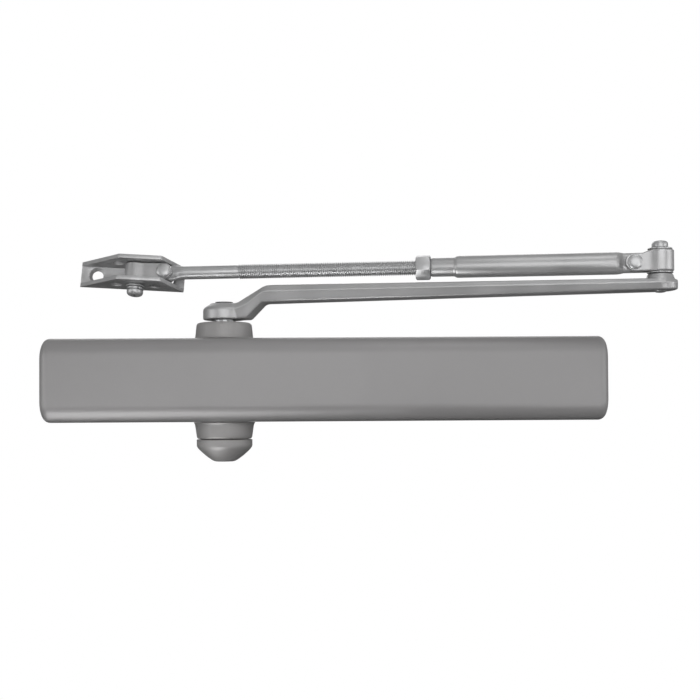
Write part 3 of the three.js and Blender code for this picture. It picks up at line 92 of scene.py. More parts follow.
floor_z = cad_box[0].z - FLOOR_DROP
bpy.ops.object.select_all(action="DESELECT")
bpy.ops.mesh.primitive_plane_add(size=1, location=(0, 0, floor_z))
floor = bpy.context.object
floor.name = "paper_floor"
bpy.ops.object.mode_set(mode="EDIT")
bpy.ops.transform.resize(value=(FLOOR_SIZE, FLOOR_SIZE, 1), center_override=(0, 0, floor_z))
bpy.ops.object.mode_set(mode="OBJECT")
bpy.ops.object.transform_apply(location=True, rotation=True, scale=True)
floor.visible_diffuse = False
floor.visible_glossy = False

paper = bpy.data.materials.new("paper")
paper.use_nodes = True
paper_shader = paper.node_tree.nodes["Principled BSDF"]
paper_shader.inputs["Base Color"].default_value = (0, 0, 0, 1)
paper_shader.inputs["Specular IOR Level"].default_value = 0
paper_shader.inputs["Emission Color"].default_value = (1, 1, 1, 1)
paper_shader.inputs["Emission Strength"].default_value = 1
floor.data.materials.append(paper)

air = bpy.data.worlds.new("studio_air")
air.use_nodes = True
air_nodes = air.node_tree.nodes
air_links = air.node_tree.links
air_nodes.clear()
air_output = air_nodes.new("ShaderNodeOutputWorld")
seen_air = air_nodes.new("ShaderNodeBackground")
seen_air.inputs["Color"].default_value = (1, 1, 1, 1)
lit_air = air_nodes.new("ShaderNodeBackground")
air_way = air_nodes.new("ShaderNodeTexCoord")
air_split = air_nodes.new("ShaderNodeSeparateXYZ")
air_range = air_nodes.new("ShaderNodeMapRange")
air_range.inputs["From Min"].default_value = AIR_HEIGHTS[0]
air_range.inputs["From Max"].default_value = AIR_HEIGHTS[1]
air_range.inputs["To Min"].default_value = AIR_BOTTOM
air_range.inputs["To Max"].default_value = AIR_TOP
air_path = air_nodes.new("ShaderNodeLightPath")
air_mix = air_nodes.new("ShaderNodeMixShader")
air_links.new(air_way.outputs["Generated"], air_split.inputs["Vector"])
air_links.new(air_split.outputs["Z"], air_range.inputs["Value"])
air_links.new(air_range.outputs["Result"], lit_air.inputs["Color"])
air_links.new(air_path.outputs["Is Camera Ray"], air_mix.inputs["Fac"])
air_links.new(lit_air.outputs["Background"], air_mix.inputs[1])
air_links.new(seen_air.outputs["Background"], air_mix.inputs[2])
air_links.new(air_mix.outputs["Shader"], air_output.inputs["Surface"])
bpy.context.scene.world = air


def soft_box(name, place, aim, width, height, power):
    """A rectangular light at a place, facing the point it is aimed at."""
    bpy.ops.object.light_add(type="AREA", location=place)
    light = bpy.context.object
    light.name = name
    light.data.shape = "RECTANGLE"
    light.data.size = width
    light.data.size_y = height
    light.data.energy = power
    light.rotation_euler = (Vector(aim) - Vector(place)).to_track_quat("-Z", "Y").to_euler()


soft_box("front_box", (0.14, -1.60, 0.20), (0.06, -0.03, 0.02), 1.50, 0.90, 10.2)
soft_box("overhead_box", (0.24, -0.38, 0.66), (0.16, -0.04, 0.02), 0.36, 0.28, 0.8)
soft_box("low_left_box", (-0.18, -0.20, -0.46), (-0.05, -0.04, -0.02), 0.36, 0.30, 2.7)
soft_box("low_right_box", (0.66, -1.10, -0.42), (0.14, -0.06, 0.04), 0.40, 0.40, 3.0)
soft_box("left_box", (-0.75, -0.40, 0.02), (-0.10, -0.03, 0.0), 0.50, 0.50, 1.7)
soft_box("right_box", (0.95, -0.40, 0.02), (0.21, -0.03, 0.0), 0.50, 0.50, 2.2)
soft_box("back_box", (0.05, 0.90, 0.55), (0.08, 0, 0.0), 0.90, 0.50, 3.0)

# ---- Cover -----------------------------------------------------------------------------------
# A long shell moulded in one piece and sprayed satin grey. It is drawn as one closed section
# along the body, with its ends turned in, then hollowed and slotted for the two collars' necks.

COVER_LEFT = -99
COVER_RIGHT = 213
COVER_TOP = 23.2
COVER_FRONT = -56
COVER_BACK = -1.5
COVER_WALL = 2
LONG_EDGE = 10
END_CORNER = 5
END_EDGE = 6
NECK_SLOT = 14.2
PINION_Y = -28
PINION_AT = (0, PINION_Y, 0)
ROUNDING_STEPS = 9


def begin():
    """Nothing is left selected, so that a new shape is worked on alone."""
    if bpy.context.mode != "OBJECT":
        bpy.ops.object.mode_set(mode="OBJECT")
    bpy.ops.object.select_all(action="DESELECT")


def take(shape):
    """Selects one shape and makes it the active one."""
    begin()
    shape.select_set(True)
    bpy.context.view_layer.objects.active = shape


def smooth_shade(shape, angle):
    """Shades a shape smooth wherever its faces meet at less than an angle in degrees."""
    take(shape)
    bpy.ops.object.shade_smooth_by_angle(angle=math.radians(angle))


def outline_face(corners):
    """A filled circle in the YZ plane whose corners are moved to [y, z] places in millimetres."""
    begin()
    bpy.ops.mesh.primitive_circle_add(vertices=len(corners), radius=MM, fill_type="NGON")
    shape = bpy.context.object
    bpy.ops.object.mode_set(mode="EDIT")
    for number, (y, z) in enumerate(corners):
        bpy.ops.mesh.select_all(action="DESELECT")
        bpy.ops.object.mode_set(mode="OBJECT")
        shape.data.vertices[number].select = True
        here = shape.data.vertices[number].co.copy()
        bpy.ops.object.mode_set(mode="EDIT")
        move = Vector((0, y * MM, z * MM)) - here
        bpy.ops.transform.translate(value=move)
    bpy.ops.mesh.select_all(action="SELECT")
    return shape


def sweep(name, corners, stations):
    """An outline drawn out through stations of (x, y, z, turn about Z in degrees, share of its
    width, share of its height); the outline's own width lies across the way it runs."""
    shape = outline_face(corners)
    shape.name = name
    at, turn, wide, high = Vector((0, 0, 0)), 0, 1, 1
    for number, (x, y, z, new_turn, new_wide, new_high) in enumerate(stations):
        to = Vector((x, y, z)) * MM
        if number:
            bpy.ops.mesh.extrude_region_move(TRANSFORM_OT_translate={"value": to - at})
        else:
            bpy.ops.transform.translate(value=to - at)
        if new_turn != turn:
            bpy.ops.transform.rotate(
                value=-math.radians(new_turn - turn), orient_axis="Z", center_override=to
            )
        if (new_wide, new_high) != (wide, high):
            shares = (1, new_wide / wide, new_high / high)
            bpy.ops.transform.resize(value=shares, center_override=to)
        at, turn, wide, high = to, new_turn, new_wide, new_high
    bpy.ops.mesh.select_all(action="SELECT")
    bpy.ops.mesh.normals_make_consistent(inside=False)
    bpy.ops.object.mode_set(mode="OBJECT")
    return shape


def apply_modifier(shape, kind, **settings):
    """Adds a modifier with these settings and applies it at once."""
    take(shape)
    modifier = shape.modifiers.new(kind.lower(), kind)
    for key, value in settings.items():
        setattr(modifier, key, value)
    bpy.ops.object.modifier_apply(modifier=modifier.name)


def cut(shape, tool, operation="DIFFERENCE"):
    """Cuts a tool out of a shape, or joins it on, and throws the tool away."""
    apply_modifier(shape, "BOOLEAN", object=tool, operation=operation, solver="MANIFOLD")
    bpy.data.objects.remove(tool)


def ease_edges(shape, width, angle):
    """Rounds the sharp edges and shades the rest smooth."""
    apply_modifier(
        shape, "BEVEL", width=width * MM, segments=2, limit_method="ANGLE",
        angle_limit=math.radians(angle), use_clamp_overlap=True,
    )
    smooth_shade(shape, angle)


def rounded_box(name, low, high):
    """A cube drawn out to two opposite corners in millimetres, its edges as they are."""
    begin()
    middle = (Vector(low) + Vector(high)) / 2 * MM
    bpy.ops.mesh.primitive_cube_add(size=MM, location=middle)
    shape = bpy.context.object
    shape.name = name
    bpy.ops.object.mode_set(mode="EDIT")
    bpy.ops.transform.resize(value=Vector(high) - Vector(low), center_override=middle)
    bpy.ops.object.mode_set(mode="OBJECT")
    bpy.ops.object.transform_apply(location=True, rotation=True, scale=True)
    return shape


ALONG = {"X": (0, math.pi / 2, 0), "Y": (-math.pi / 2, 0, 0), "Z": (0, 0, 0)}
STEP = {"X": Vector((1, 0, 0)), "Y": Vector((0, 1, 0)), "Z": Vector((0, 0, 1))}


def turned(name, profile, axis="Z", at=(0, 0, 0), sides=64, hollow=False):
    """A round piece built ring by ring from (radius, height) points in millimetres. A hollow
    one ends on the ring it began with."""
    begin()
    way = STEP[axis]
    foot = Vector(at) * MM
    radius, height = profile[0]
    bpy.ops.mesh.primitive_circle_add(
        vertices=sides, radius=radius * MM, fill_type="NOTHING" if hollow else "NGON",
        location=foot + way * height * MM, rotation=ALONG[axis],
    )
    shape = bpy.context.object
    shape.name = name
    bpy.ops.object.mode_set(mode="EDIT")
    bpy.ops.mesh.select_all(action="SELECT")
    for new_radius, new_height in profile[1:]:
        rise = way * (new_height - height) * MM
        bpy.ops.mesh.extrude_region_move(TRANSFORM_OT_translate={"value": rise})
        share = new_radius / radius
        if share != 1:
            centre = foot + way * new_height * MM
            bpy.ops.transform.resize(value=(share, share, share), center_override=centre)
        radius, height = new_radius, new_height
    bpy.ops.mesh.select_all(action="SELECT")
    if hollow:
        bpy.ops.mesh.remove_doubles(threshold=0.001 * MM)
    bpy.ops.mesh.normals_make_consistent(inside=False)
    bpy.ops.object.mode_set(mode="OBJECT")
    bpy.ops.object.transform_apply(location=True, rotation=True, scale=True)
    bpy.ops.object.shade_smooth_by_angle(angle=math.radians(30))
    return shape


def bore(shape, radius, start, end, axis="Z", at=(0, 0, 0), sides=40):
    """Drills a round hole from start to end along an axis."""
    cut(shape, turned("drill", [(radius, start), (radius, end)], axis, at, sides))


def place(shape, spot):
    """Moves a finished shape to its spot on the closer, into its mesh."""
    take(shape)
    shape.matrix_world = spot
    bpy.ops.object.transform_apply(location=True, rotation=True, scale=True)


def finish_piece(shape, body, slot, *nodes):
    """The shape rides on its body and stands for these solids, in that slot's finish."""
    shape.data.name = shape.name
    shape.data.materials.clear()
    shape.data.materials.append(FINISHES[slot])
    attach(shape, body)
    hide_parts(*nodes)


def effect_group(name, inputs, outputs):
    """An empty shader group with (socket type, name, value) inputs and (type, name) outputs."""
    group = bpy.data.node_groups.new(name, "ShaderNodeTree")
    for kind, label, value in inputs:
        socket = group.interface.new_socket(label, in_out="INPUT", socket_type=kind)
        if value is not None:
            socket.default_value = value
    for kind, label in outputs:
        group.interface.new_socket(label, in_out="OUTPUT", socket_type=kind)
    return group, group.nodes.new("NodeGroupInput"), group.nodes.new("NodeGroupOutput")


VECTOR, COLOUR, NUMBER = "NodeSocketVector", "NodeSocketColor", "NodeSocketFloat"


def surface_noise_group():
    """Clouds of lighter and darker tone, and a fine grain, over a sprayed or plated surface."""
    group, given, made = effect_group(
        "surface_noise",
        [
            (VECTOR, "Place", None), (NUMBER, "Cloud Size", 30), (NUMBER, "Grain Size", 1500),
            (COLOUR, "Dark", None), (COLOUR, "Light", None),
            (NUMBER, "Smooth", 0.3), (NUMBER, "Rough", 0.4),
        ],
        [(COLOUR, "Colour"), (NUMBER, "Roughness"), (NUMBER, "Height")],
    )
    nodes, links = group.nodes, group.links
    cloud = nodes.new("ShaderNodeTexNoise")
    cloud.inputs["Detail"].default_value = 4
    grain = nodes.new("ShaderNodeTexNoise")
    grain.inputs["Detail"].default_value = 2
    blend = nodes.new("ShaderNodeMath")
    blend.operation = "MULTIPLY_ADD"
    blend.inputs[1].default_value = 0.35
    spread = nodes.new("ShaderNodeMapRange")
    spread.inputs["From Min"].default_value = 0.40
    spread.inputs["From Max"].default_value = 0.95
    tone = nodes.new("ShaderNodeMix")
    tone.data_type = "RGBA"
    gloss = nodes.new("ShaderNodeMapRange")
    links.new(given.outputs["Place"], cloud.inputs["Vector"])
    links.new(given.outputs["Place"], grain.inputs["Vector"])
    links.new(given.outputs["Cloud Size"], cloud.inputs["Scale"])
    links.new(given.outputs["Grain Size"], grain.inputs["Scale"])
    links.new(grain.outputs["Fac"], blend.inputs[0])
    links.new(cloud.outputs["Fac"], blend.inputs[2])
    links.new(blend.outputs["Value"], spread.inputs["Value"])
    links.new(spread.outputs["Result"], tone.inputs["Factor"])
    links.new(given.outputs["Dark"], tone.inputs[6])
    links.new(given.outputs["Light"], tone.inputs[7])
    links.new(spread.outputs["Result"], gloss.inputs["Value"])
    links.new(given.outputs["Smooth"], gloss.inputs["To Min"])
    links.new(given.outputs["Rough"], gloss.inputs["To Max"])
    links.new(tone.outputs[2], made.inputs["Colour"])
    links.new(gloss.outputs["Result"], made.inputs["Roughness"])
    links.new(grain.outputs["Fac"], made.inputs["Height"])
    return group


def edge_wear_group():
    """A mask of the raised edges, where paint or plating is rubbed thin, broken up by noise."""
    group, given, made = effect_group(
        "edge_wear",
        [(VECTOR, "Place", None), (NUMBER, "Break Up", 220), (NUMBER, "Amount", 0.5)],
        [(NUMBER, "Mask")],
    )
    nodes, links = group.nodes, group.links
    shape = nodes.new("ShaderNodeNewGeometry")
    edge = nodes.new("ShaderNodeMapRange")
    edge.inputs["From Min"].default_value = 0.52
    edge.inputs["From Max"].default_value = 0.62
    patch = nodes.new("ShaderNodeTexNoise")
    patch.inputs["Detail"].default_value = 5
    broken = nodes.new("ShaderNodeMapRange")
    broken.inputs["From Min"].default_value = 0.40
    broken.inputs["From Max"].default_value = 0.62
    both = nodes.new("ShaderNodeMath")
    both.operation = "MULTIPLY"
    share = nodes.new("ShaderNodeMath")
    share.operation = "MULTIPLY"
    links.new(shape.outputs["Pointiness"], edge.inputs["Value"])
    links.new(given.outputs["Place"], patch.inputs["Vector"])
    links.new(given.outputs["Break Up"], patch.inputs["Scale"])
    links.new(patch.outputs["Fac"], broken.inputs["Value"])
    links.new(edge.outputs["Result"], both.inputs[0])
    links.new(broken.outputs["Result"], both.inputs[1])
    links.new(both.outputs["Value"], share.inputs[0])
    links.new(given.outputs["Amount"], share.inputs[1])
    links.new(share.outputs["Value"], made.inputs["Mask"])
    return group


SURFACE_NOISE = surface_noise_group()
EDGE_WEAR = edge_wear_group()
FINISHES = {}


def surface(
    slot, dark, light, smooth, rough, metallic, cloud, grain, relief,
    stretch=(1, 1, 1), coat=0.0, bare=None, wear=0.0,
):
    """A finish for one of the closer's material slots."""
    material = bpy.data.materials.new(slot)
    material.use_nodes = True
    nodes, links = material.node_tree.nodes, material.node_tree.links
    shader = nodes["Principled BSDF"]
    shader.inputs["Metallic"].default_value = metallic
    shader.inputs["Coat Weight"].default_value = coat
    shader.inputs["Coat Roughness"].default_value = 0.3
    place_node = nodes.new("ShaderNodeTexCoord")
    stretch_node = nodes.new("ShaderNodeMapping")
    stretch_node.inputs["Scale"].default_value = stretch
    noise = nodes.new("ShaderNodeGroup")
    noise.node_tree = SURFACE_NOISE
    noise.inputs["Cloud Size"].default_value = cloud
    noise.inputs["Grain Size"].default_value = grain
    noise.inputs["Dark"].default_value = (*dark, 1)
    noise.inputs["Light"].default_value = (*light, 1)
    noise.inputs["Smooth"].default_value = smooth
    noise.inputs["Rough"].default_value = rough
    bump = nodes.new("ShaderNodeBump")
    bump.inputs["Strength"].default_value = relief
    bump.inputs["Distance"].default_value = 0.05 * MM
    links.new(place_node.outputs["Object"], stretch_node.inputs["Vector"])
    links.new(stretch_node.outputs["Vector"], noise.inputs["Place"])
    links.new(noise.outputs["Roughness"], shader.inputs["Roughness"])
    links.new(noise.outputs["Height"], bump.inputs["Height"])
    links.new(bump.outputs["Normal"], shader.inputs["Normal"])
    if wear:
        worn = nodes.new("ShaderNodeGroup")
        worn.node_tree = EDGE_WEAR
        worn.inputs["Amount"].default_value = wear
        rubbed = nodes.new("ShaderNodeMix")
        rubbed.data_type = "RGBA"
        rubbed.inputs[7].default_value = (*bare, 1)
        links.new(place_node.outputs["Object"], worn.inputs["Place"])
        links.new(worn.outputs["Mask"], rubbed.inputs["Factor"])
        links.new(noise.outputs["Colour"], rubbed.inputs[6])
        links.new(rubbed.outputs[2], shader.inputs["Base Color"])
    else:
        links.new(noise.outputs["Colour"], shader.inputs["Base Color"])
    FINISHES[slot] = material


surface(
    "cover_paint", (0.250, 0.245, 0.246), (0.280, 0.274, 0.276), 0.42, 0.50, 0.10,
    cloud=14, grain=2600, relief=0.25, coat=0.10, bare=(0.42, 0.41, 0.40), wear=0.35,
)

cover_half = (COVER_BACK - COVER_FRONT) / 2
end_steps = [math.pi / 2 * step / ROUNDING_STEPS for step in range(ROUNDING_STEPS + 1)]
end_insets = sorted({round(END_EDGE * (1 - math.cos(step)), 4) for step in end_steps})


def cover_stations():
    """Sections along the cover; at each end they are lower and further back than the middle."""
    depth = COVER_BACK - COVER_FRONT
    middle_y = (COVER_BACK + COVER_FRONT) / 2
    ends = []
    for inset in end_insets:
        corner = max(END_CORNER - inset, 0)
        lower = END_CORNER - math.sqrt(END_CORNER**2 - corner**2)
        edge = END_EDGE - inset
        deeper = END_EDGE - math.sqrt(END_EDGE**2 - edge**2)
        ends.append((inset, middle_y + deeper / 2, 1 - deeper / depth, 1 - lower / COVER_TOP))
    left = [(COVER_LEFT + x, y, 0, 0, wide, high) for x, y, wide, high in ends]
    right = [(COVER_RIGHT - x, y, 0, 0, wide, high) for x, y, wide, high in reversed(ends)]
    return left + right


def quarter(centre, radius, start, steps=14):
    """Points of a quarter circle, in [y, z], turning from a start angle in degrees."""
    turns = [math.radians(start + 90 * step / steps) for step in range(steps + 1)]
    return [(centre[0] + radius * math.cos(a), centre[1] + radius * math.sin(a)) for a in turns]


cover_section = [(cover_half, -COVER_TOP), (cover_half, COVER_TOP)]
cover_section += quarter((-cover_half + LONG_EDGE, COVER_TOP - LONG_EDGE), LONG_EDGE, 90)
cover_section += quarter((-cover_half + LONG_EDGE, -COVER_TOP + LONG_EDGE), LONG_EDGE, 180)
cover = sweep("cover_shell", cover_section, cover_stations())

bpy.ops.object.mode_set(mode="EDIT")
bpy.ops.mesh.select_all(action="DESELECT")
bpy.ops.mesh.select_mode(type="FACE")
bpy.ops.object.mode_set(mode="OBJECT")
for face in cover.data.polygons:
    face.select = face.normal.y > 0.99
bpy.ops.object.mode_set(mode="EDIT")
bpy.ops.mesh.delete(type="FACE")
bpy.ops.mesh.select_mode(type="VERT")
bpy.ops.object.mode_set(mode="OBJECT")
apply_modifier(cover, "SOLIDIFY", thickness=COVER_WALL * MM, offset=-1, use_even_offset=True)
bore(cover, NECK_SLOT, -COVER_TOP - 1, COVER_TOP + 1, at=PINION_AT, sides=64)
cut(cover, rounded_box(
    "slot_tool", (-NECK_SLOT, PINION_Y, -COVER_TOP - 1), (NECK_SLOT, 1, COVER_TOP + 1),
))
ease_edges(cover, 0.4, angle=50)
finish_piece(cover, "cover", "cover_paint", "cover")

# ---- Collars ---------------------------------------------------------------------------------
# Two rings turned from steel and sprayed like the cover, screwed into the body to hold the
# pinion's bearings. Each has a soft shoulder and flares a little where it meets the cover.

COLLAR_BORE = 9.8
COLLAR_NECK = 13.2
COLLAR_INNER_END = 10.5

surface(
    "collar_paint", (0.275, 0.269, 0.268), (0.325, 0.318, 0.316), 0.42, 0.52, 0.15,
    cloud=60, grain=1900, relief=0.45, bare=(0.45, 0.44, 0.43), wear=0.5,
)

upper_collar_profile = [
    (COLLAR_BORE, COLLAR_INNER_END), (COLLAR_NECK, COLLAR_INNER_END), (COLLAR_NECK, 23.45),
    (17.0, 23.45), (17.1, 23.75), (16.6, 24.1), (16.35, 24.7), (16.2, 26.0), (15.95, 28.5),
    (15.7, 30.8), (15.5, 31.7), (15.1, 32.3), (14.4, 32.65), (13.4, 32.8), (11.2, 32.8),
    (10.9, 32.5), (COLLAR_BORE, 32.5), (COLLAR_BORE, COLLAR_INNER_END),
]
lower_collar_profile = [
    (COLLAR_BORE, -COLLAR_INNER_END), (COLLAR_NECK, -COLLAR_INNER_END), (COLLAR_NECK, -23.45),
    (17.2, -23.45), (17.3, -23.75), (16.9, -24.2), (16.6, -25.0), (16.35, -26.5),
    (16.0, -29.0), (15.7, -31.2), (15.45, -32.1), (15.0, -32.6), (14.2, -32.8),
    (11.2, -32.8), (10.9, -32.5), (COLLAR_BORE, -32.5), (COLLAR_BORE, -COLLAR_INNER_END),
]
for node, profile in (
    ("upper_collar", upper_collar_profile), ("lower_collar", lower_collar_profile),
):
    collar = turned(node + "_ring", profile, at=PINION_AT, sides=96, hollow=True)
    finish_piece(collar, "closer_body", "collar_paint", node)

# ---- Pinion cap ------------------------------------------------------------------------------
# A cast cap, sprayed, pushed on the lower squared end of the pinion. It has a short upright
# side and is dished down to a small flat.

cap_profile = [
    (6.7, -42.8), (6.7, -33.1), (15.1, -33.1), (15.55, -33.2), (15.7, -33.5), (15.7, -36.2),
    (15.6, -36.9), (15.3, -37.6), (14.8, -38.3), (14.0, -39.2), (13.0, -40.15), (11.8, -41.25),
    (10.5, -42.35), (9.2, -43.35), (8.0, -44.2), (7.0, -44.85), (6.0, -45.35), (5.0, -45.6),
    (2.5, -45.6), (0.4, -45.6),
]
cap = turned("pinion_end_cap", cap_profile, at=PINION_AT, sides=96)
finish_piece(cap, "spindle", "collar_paint", "pinion_cap")

# ---- Main arm --------------------------------------------------------------------------------
# A steel forging, silver painted: a boss on the pinion, a crank up, and a long tapering bar
# that is widest two thirds of the way up, where the dies met. It ends in a low boss.

ARM_ANGLE = math.radians(-9.6)
ARM_LENGTH = 240.7
ARM_BOTTOM = (43.6, 45.75)
ARM_TOP = (53.3, 51.95)
ARM_HALF = (9.0, 9.2)
FORGING_GRAIN = 0.42
PIN_HOLE = 3.5

SPINDLE_SPOT = Matrix.Translation(Vector(PINION_AT) * MM)
ARM_SPOT = SPINDLE_SPOT @ Matrix.Rotation(ARM_ANGLE, 4, "Z")

surface(
    "arm_paint", (0.40, 0.40, 0.403), (0.48, 0.48, 0.483), 0.36, 0.46, 0.50,
    cloud=45, grain=1700, relief=0.5, bare=(0.60, 0.60, 0.61), wear=0.6,
)

arm_section = [
    (0.66, 1.0), (0.80, 0.93), (0.98, 0.34), (1.0, 0.24), (0.97, 0.12), (0.85, -0.88),
    (0.76, -1.0), (-0.76, -1.0), (-0.85, -0.88), (-0.97, 0.12), (-1.0, 0.24), (-0.98, 0.34),
    (-0.80, 0.93), (-0.66, 1.0),
]


def arm_station(x, bottom, top, half):
    """One section of the arm, from its underside, its top and half its width."""
    return (x, 0, (bottom + top) / 2, 0, half, (top - bottom) / 2)


def arm_stations():
    """The crank, the taper and the rounded tip."""
    crank = [
        (1, 34.7, 43.6), (8.5, 34.6, 43.6), (10.2, 34.6, 44.2), (14.2, 34.7, 46.6),
        (15.2, 35.2, 47.2), (18.5, 38.5, 49.1), (22.8, 42.8, 51.6), (24.2, 43.4, 52.4),
        (26.2, 43.6, 53.1), (29.0, 43.6, 53.3),
    ]
    made = [arm_station(x, bottom, top, ARM_HALF[0]) for x, bottom, top in crank]
    for share in (0.25, 0.5, 0.75, 1.0):
        x = 29 + (ARM_LENGTH - 29) * share
        bottom = ARM_BOTTOM[0] + (ARM_BOTTOM[1] - ARM_BOTTOM[0]) * share
        top = ARM_TOP[0] + (ARM_TOP[1] - ARM_TOP[0]) * share
        half = ARM_HALF[0] + (ARM_HALF[1] - ARM_HALF[0]) * share
        made.append(arm_station(x, bottom, top, half))
    for degrees in (15, 30, 45, 58, 70, 80):
        angle = math.radians(degrees)
        ease = 0.9 * (1 - math.cos(angle))
        x = ARM_LENGTH + ARM_HALF[1] * math.sin(angle)
        half = ARM_HALF[1] * math.cos(angle)
        made.append(arm_station(x, ARM_BOTTOM[1] + ease, ARM_TOP[1] - ease, half))
    return made


main_arm = sweep("forged_arm", arm_section, arm_stations())
boss_profile = [
    (11.3, 34.5), (11.75, 34.7), (11.9, 35.1), (11.9, 39.7), (11.7, 40.4), (11.2, 41.1),
    (10.5, 41.75), (9.7, 42.3), (8.9, 42.8), (8.2, 43.2), (7.8, 43.7), (3.0, 43.8),
]
cut(main_arm, turned("boss_tool", boss_profile, sides=72), "UNION")
elbow_profile = [
    (8.2, 48.6), (8.2, 51.4), (7.5, 52.2), (7.15, 53.2), (6.85, 54.1), (6.4, 54.6), (5.7, 54.85),
    (2.0, 54.85),
]
cut(main_arm, turned("elbow_boss_tool", elbow_profile, at=(ARM_LENGTH, 0, 0), sides=64), "UNION")
apply_modifier(main_arm, "REMESH", mode="VOXEL", voxel_size=FORGING_GRAIN * MM)
apply_modifier(main_arm, "SMOOTH", factor=0.5, iterations=2)
bore(main_arm, 7.5, 40.2, 60)
bore(main_arm, 6.7, 30, 41)
bore(main_arm, PIN_HOLE, 40, 60, at=(ARM_LENGTH, 0, 0))
smooth_shade(main_arm, 35)
place(main_arm, ARM_SPOT)
finish_piece(main_arm, "spindle", "arm_paint", "main_arm")

# ---- Elbow pin and washers -------------------------------------------------------------------
# A zinc-plated shouldered pin, riveted under the arm, with a low domed head. A plain washer lies
# under its head, and a thrust washer between the strap and the arm's boss.

ELBOW_AT = Vector((237.32925, -68.14124, 0))
ELBOW_SPOT = Matrix.Translation(ELBOW_AT * MM)

surface(
    "zinc", (0.44, 0.442, 0.446), (0.54, 0.542, 0.546), 0.34, 0.46, 0.62,
    cloud=120, grain=2400, relief=0.35, bare=(0.66, 0.66, 0.67), wear=0.5,
)

pin_profile = [
    (1.5, 44.8), (2.4, 44.95), (2.8, 45.2), (3.2, 45.75), (3.2, 68.95), (4.05, 68.95),
    (4.3, 69.2), (4.3, 70.7), (4.15, 71.4), (3.75, 71.95), (3.1, 72.3), (2.2, 72.5), (1.0, 72.6),
    (0.3, 72.6),
]
elbow_pin = turned("elbow_pivot_pin", pin_profile, sides=48)
place(elbow_pin, ELBOW_SPOT)
finish_piece(elbow_pin, "spindle", "zinc", "elbow_pin")


def washer(name, inner, outer, bottom, top, sides=64):
    """A flat ring with its outer corners taken off."""
    edge = min(0.2, (top - bottom) / 4)
    return turned(name, [
        (inner, bottom), (outer - edge, bottom), (outer, bottom + edge), (outer, top - edge),
        (outer - edge, top), (inner, top), (inner, bottom),
    ], sides=sides, hollow=True)


for name, node, outer, bottom, top in (
    ("elbow_upper_washer", "elbow_top_washer", 6.5, 67.85, 68.55),
    ("elbow_lower_washer", "elbow_thrust_washer", 6.9, 55.15, 55.85),
):
    elbow_washer = washer(name, PIN_HOLE, outer, bottom, top)
    place(elbow_washer, ELBOW_SPOT)
    finish_piece(elbow_washer, "spindle", "zinc", node)

# ---- Elbow yoke and rivet --------------------------------------------------------------------
# A strap of steel bent round the elbow's bush, painted like the arm, its two legs riveted
# through the flattened end of the tube.

FOREARM_ANGLE = math.radians(-7.9)
FOREARM_Z = 60.95
FOREARM_SPOT = ELBOW_SPOT @ Matrix.Rotation(FOREARM_ANGLE, 4, "Z")
LEG_INSIDE = 3.0
ELBOW_REACH = 13.5
RIVET_HOLE = 2.8


def strap_stations(bend, thickness, half, reach, middle, flare):
    """The middle line of a bent strap: along one leg, round the bend and back along the other."""
    leg_y = LEG_INSIDE + thickness / 2
    mean = bend - thickness / 2
    leg = []
    for degrees in (84, 70, 52, 34, 16, 0):
        angle = math.radians(degrees)
        leg.append((-reach - half * math.sin(angle), leg_y, 0, math.cos(angle), 0))
    swell = mean * math.sin(math.radians(128))
    leg.append((-bend - 2.2, leg_y, 0, 1, 0))
    leg.append((-bend + 0.6, leg_y + (swell - leg_y) * 0.25, 14, 1, 0.55))
    arc = [(128 - 16 * step) for step in range(17)]
    round_it = []
    for degrees in arc:
        angle = math.radians(degrees)
        x, y = mean * math.cos(angle), mean * math.sin(angle)
        round_it.append((x, y, degrees - 90, 1, 1))
    back = [(x, -y, -180 - turn, high, rise) for x, y, turn, high, rise in reversed(leg)]
    stations = []
    for x, y, turn, high, rise in leg + round_it + back:
        share = high + rise * flare / (2 * half)
        stations.append((x, y, middle + rise * flare / 2, turn, 1, share))
    return stations


def bent_strap(name, bend, thickness, half, reach, middle, flare):
    """A strap bent from flat bar, with rivet holes in its rounded ends."""
    thin = thickness / 2
    edge = 0.5
    section = [
        (-thin, -half + edge), (-thin + edge, -half), (thin - edge, -half), (thin, -half + edge),
        (thin, half - edge), (thin - edge, half), (-thin + edge, half), (-thin, half - edge),
    ]
    made = sweep(name, section, strap_stations(bend, thickness, half, reach, middle, flare))
    bore(made, RIVET_HOLE, -12, 12, "Y", (-reach, 0, middle))
    smooth_shade(made, 38)
    return made


elbow_yoke = bent_strap("elbow_strap", 7.4, 2.5, 4.8, ELBOW_REACH, FOREARM_Z, 1.8)
place(elbow_yoke, FOREARM_SPOT)
finish_piece(elbow_yoke, "elbow_yoke", "arm_paint", "elbow_yoke")


def rivet(name, reach, outside, height):
    """A solid rivet with a low head on each side, the heads a little dished round the rim."""
    side = [
        (3.75, outside + 0.25), (3.95, outside + 0.5), (3.9, outside + 0.95),
        (3.6, outside + 1.3), (3.0, outside + 1.6), (2.1, outside + 1.82),
        (1.1, outside + 1.93), (0.2, outside + 1.95),
    ]
    other = [(radius, -y) for radius, y in reversed(side)]
    shank = [(2.5, -outside - 0.25), (2.5, outside + 0.25)]
    return turned(name, other + shank + side, "Y", (-reach, 0, height), sides=48)


elbow_rivet = rivet("elbow_strap_rivet", ELBOW_REACH, 5.5, FOREARM_Z)
place(elbow_rivet, FOREARM_SPOT)
finish_piece(elbow_rivet, "elbow_yoke", "zinc", "elbow_rivet")

# ---- Forearm tube ----------------------------------------------------------------------------
# Drawn steel tube, painted, flattened at the elbow end and necked down at the other, where it
# is threaded inside for the rod.

TUBE_RADIUS = 6.0
ROD_HOLE = 4.27
ROUND_SIDES = 40
ROUND_STEP = 360 / ROUND_SIDES

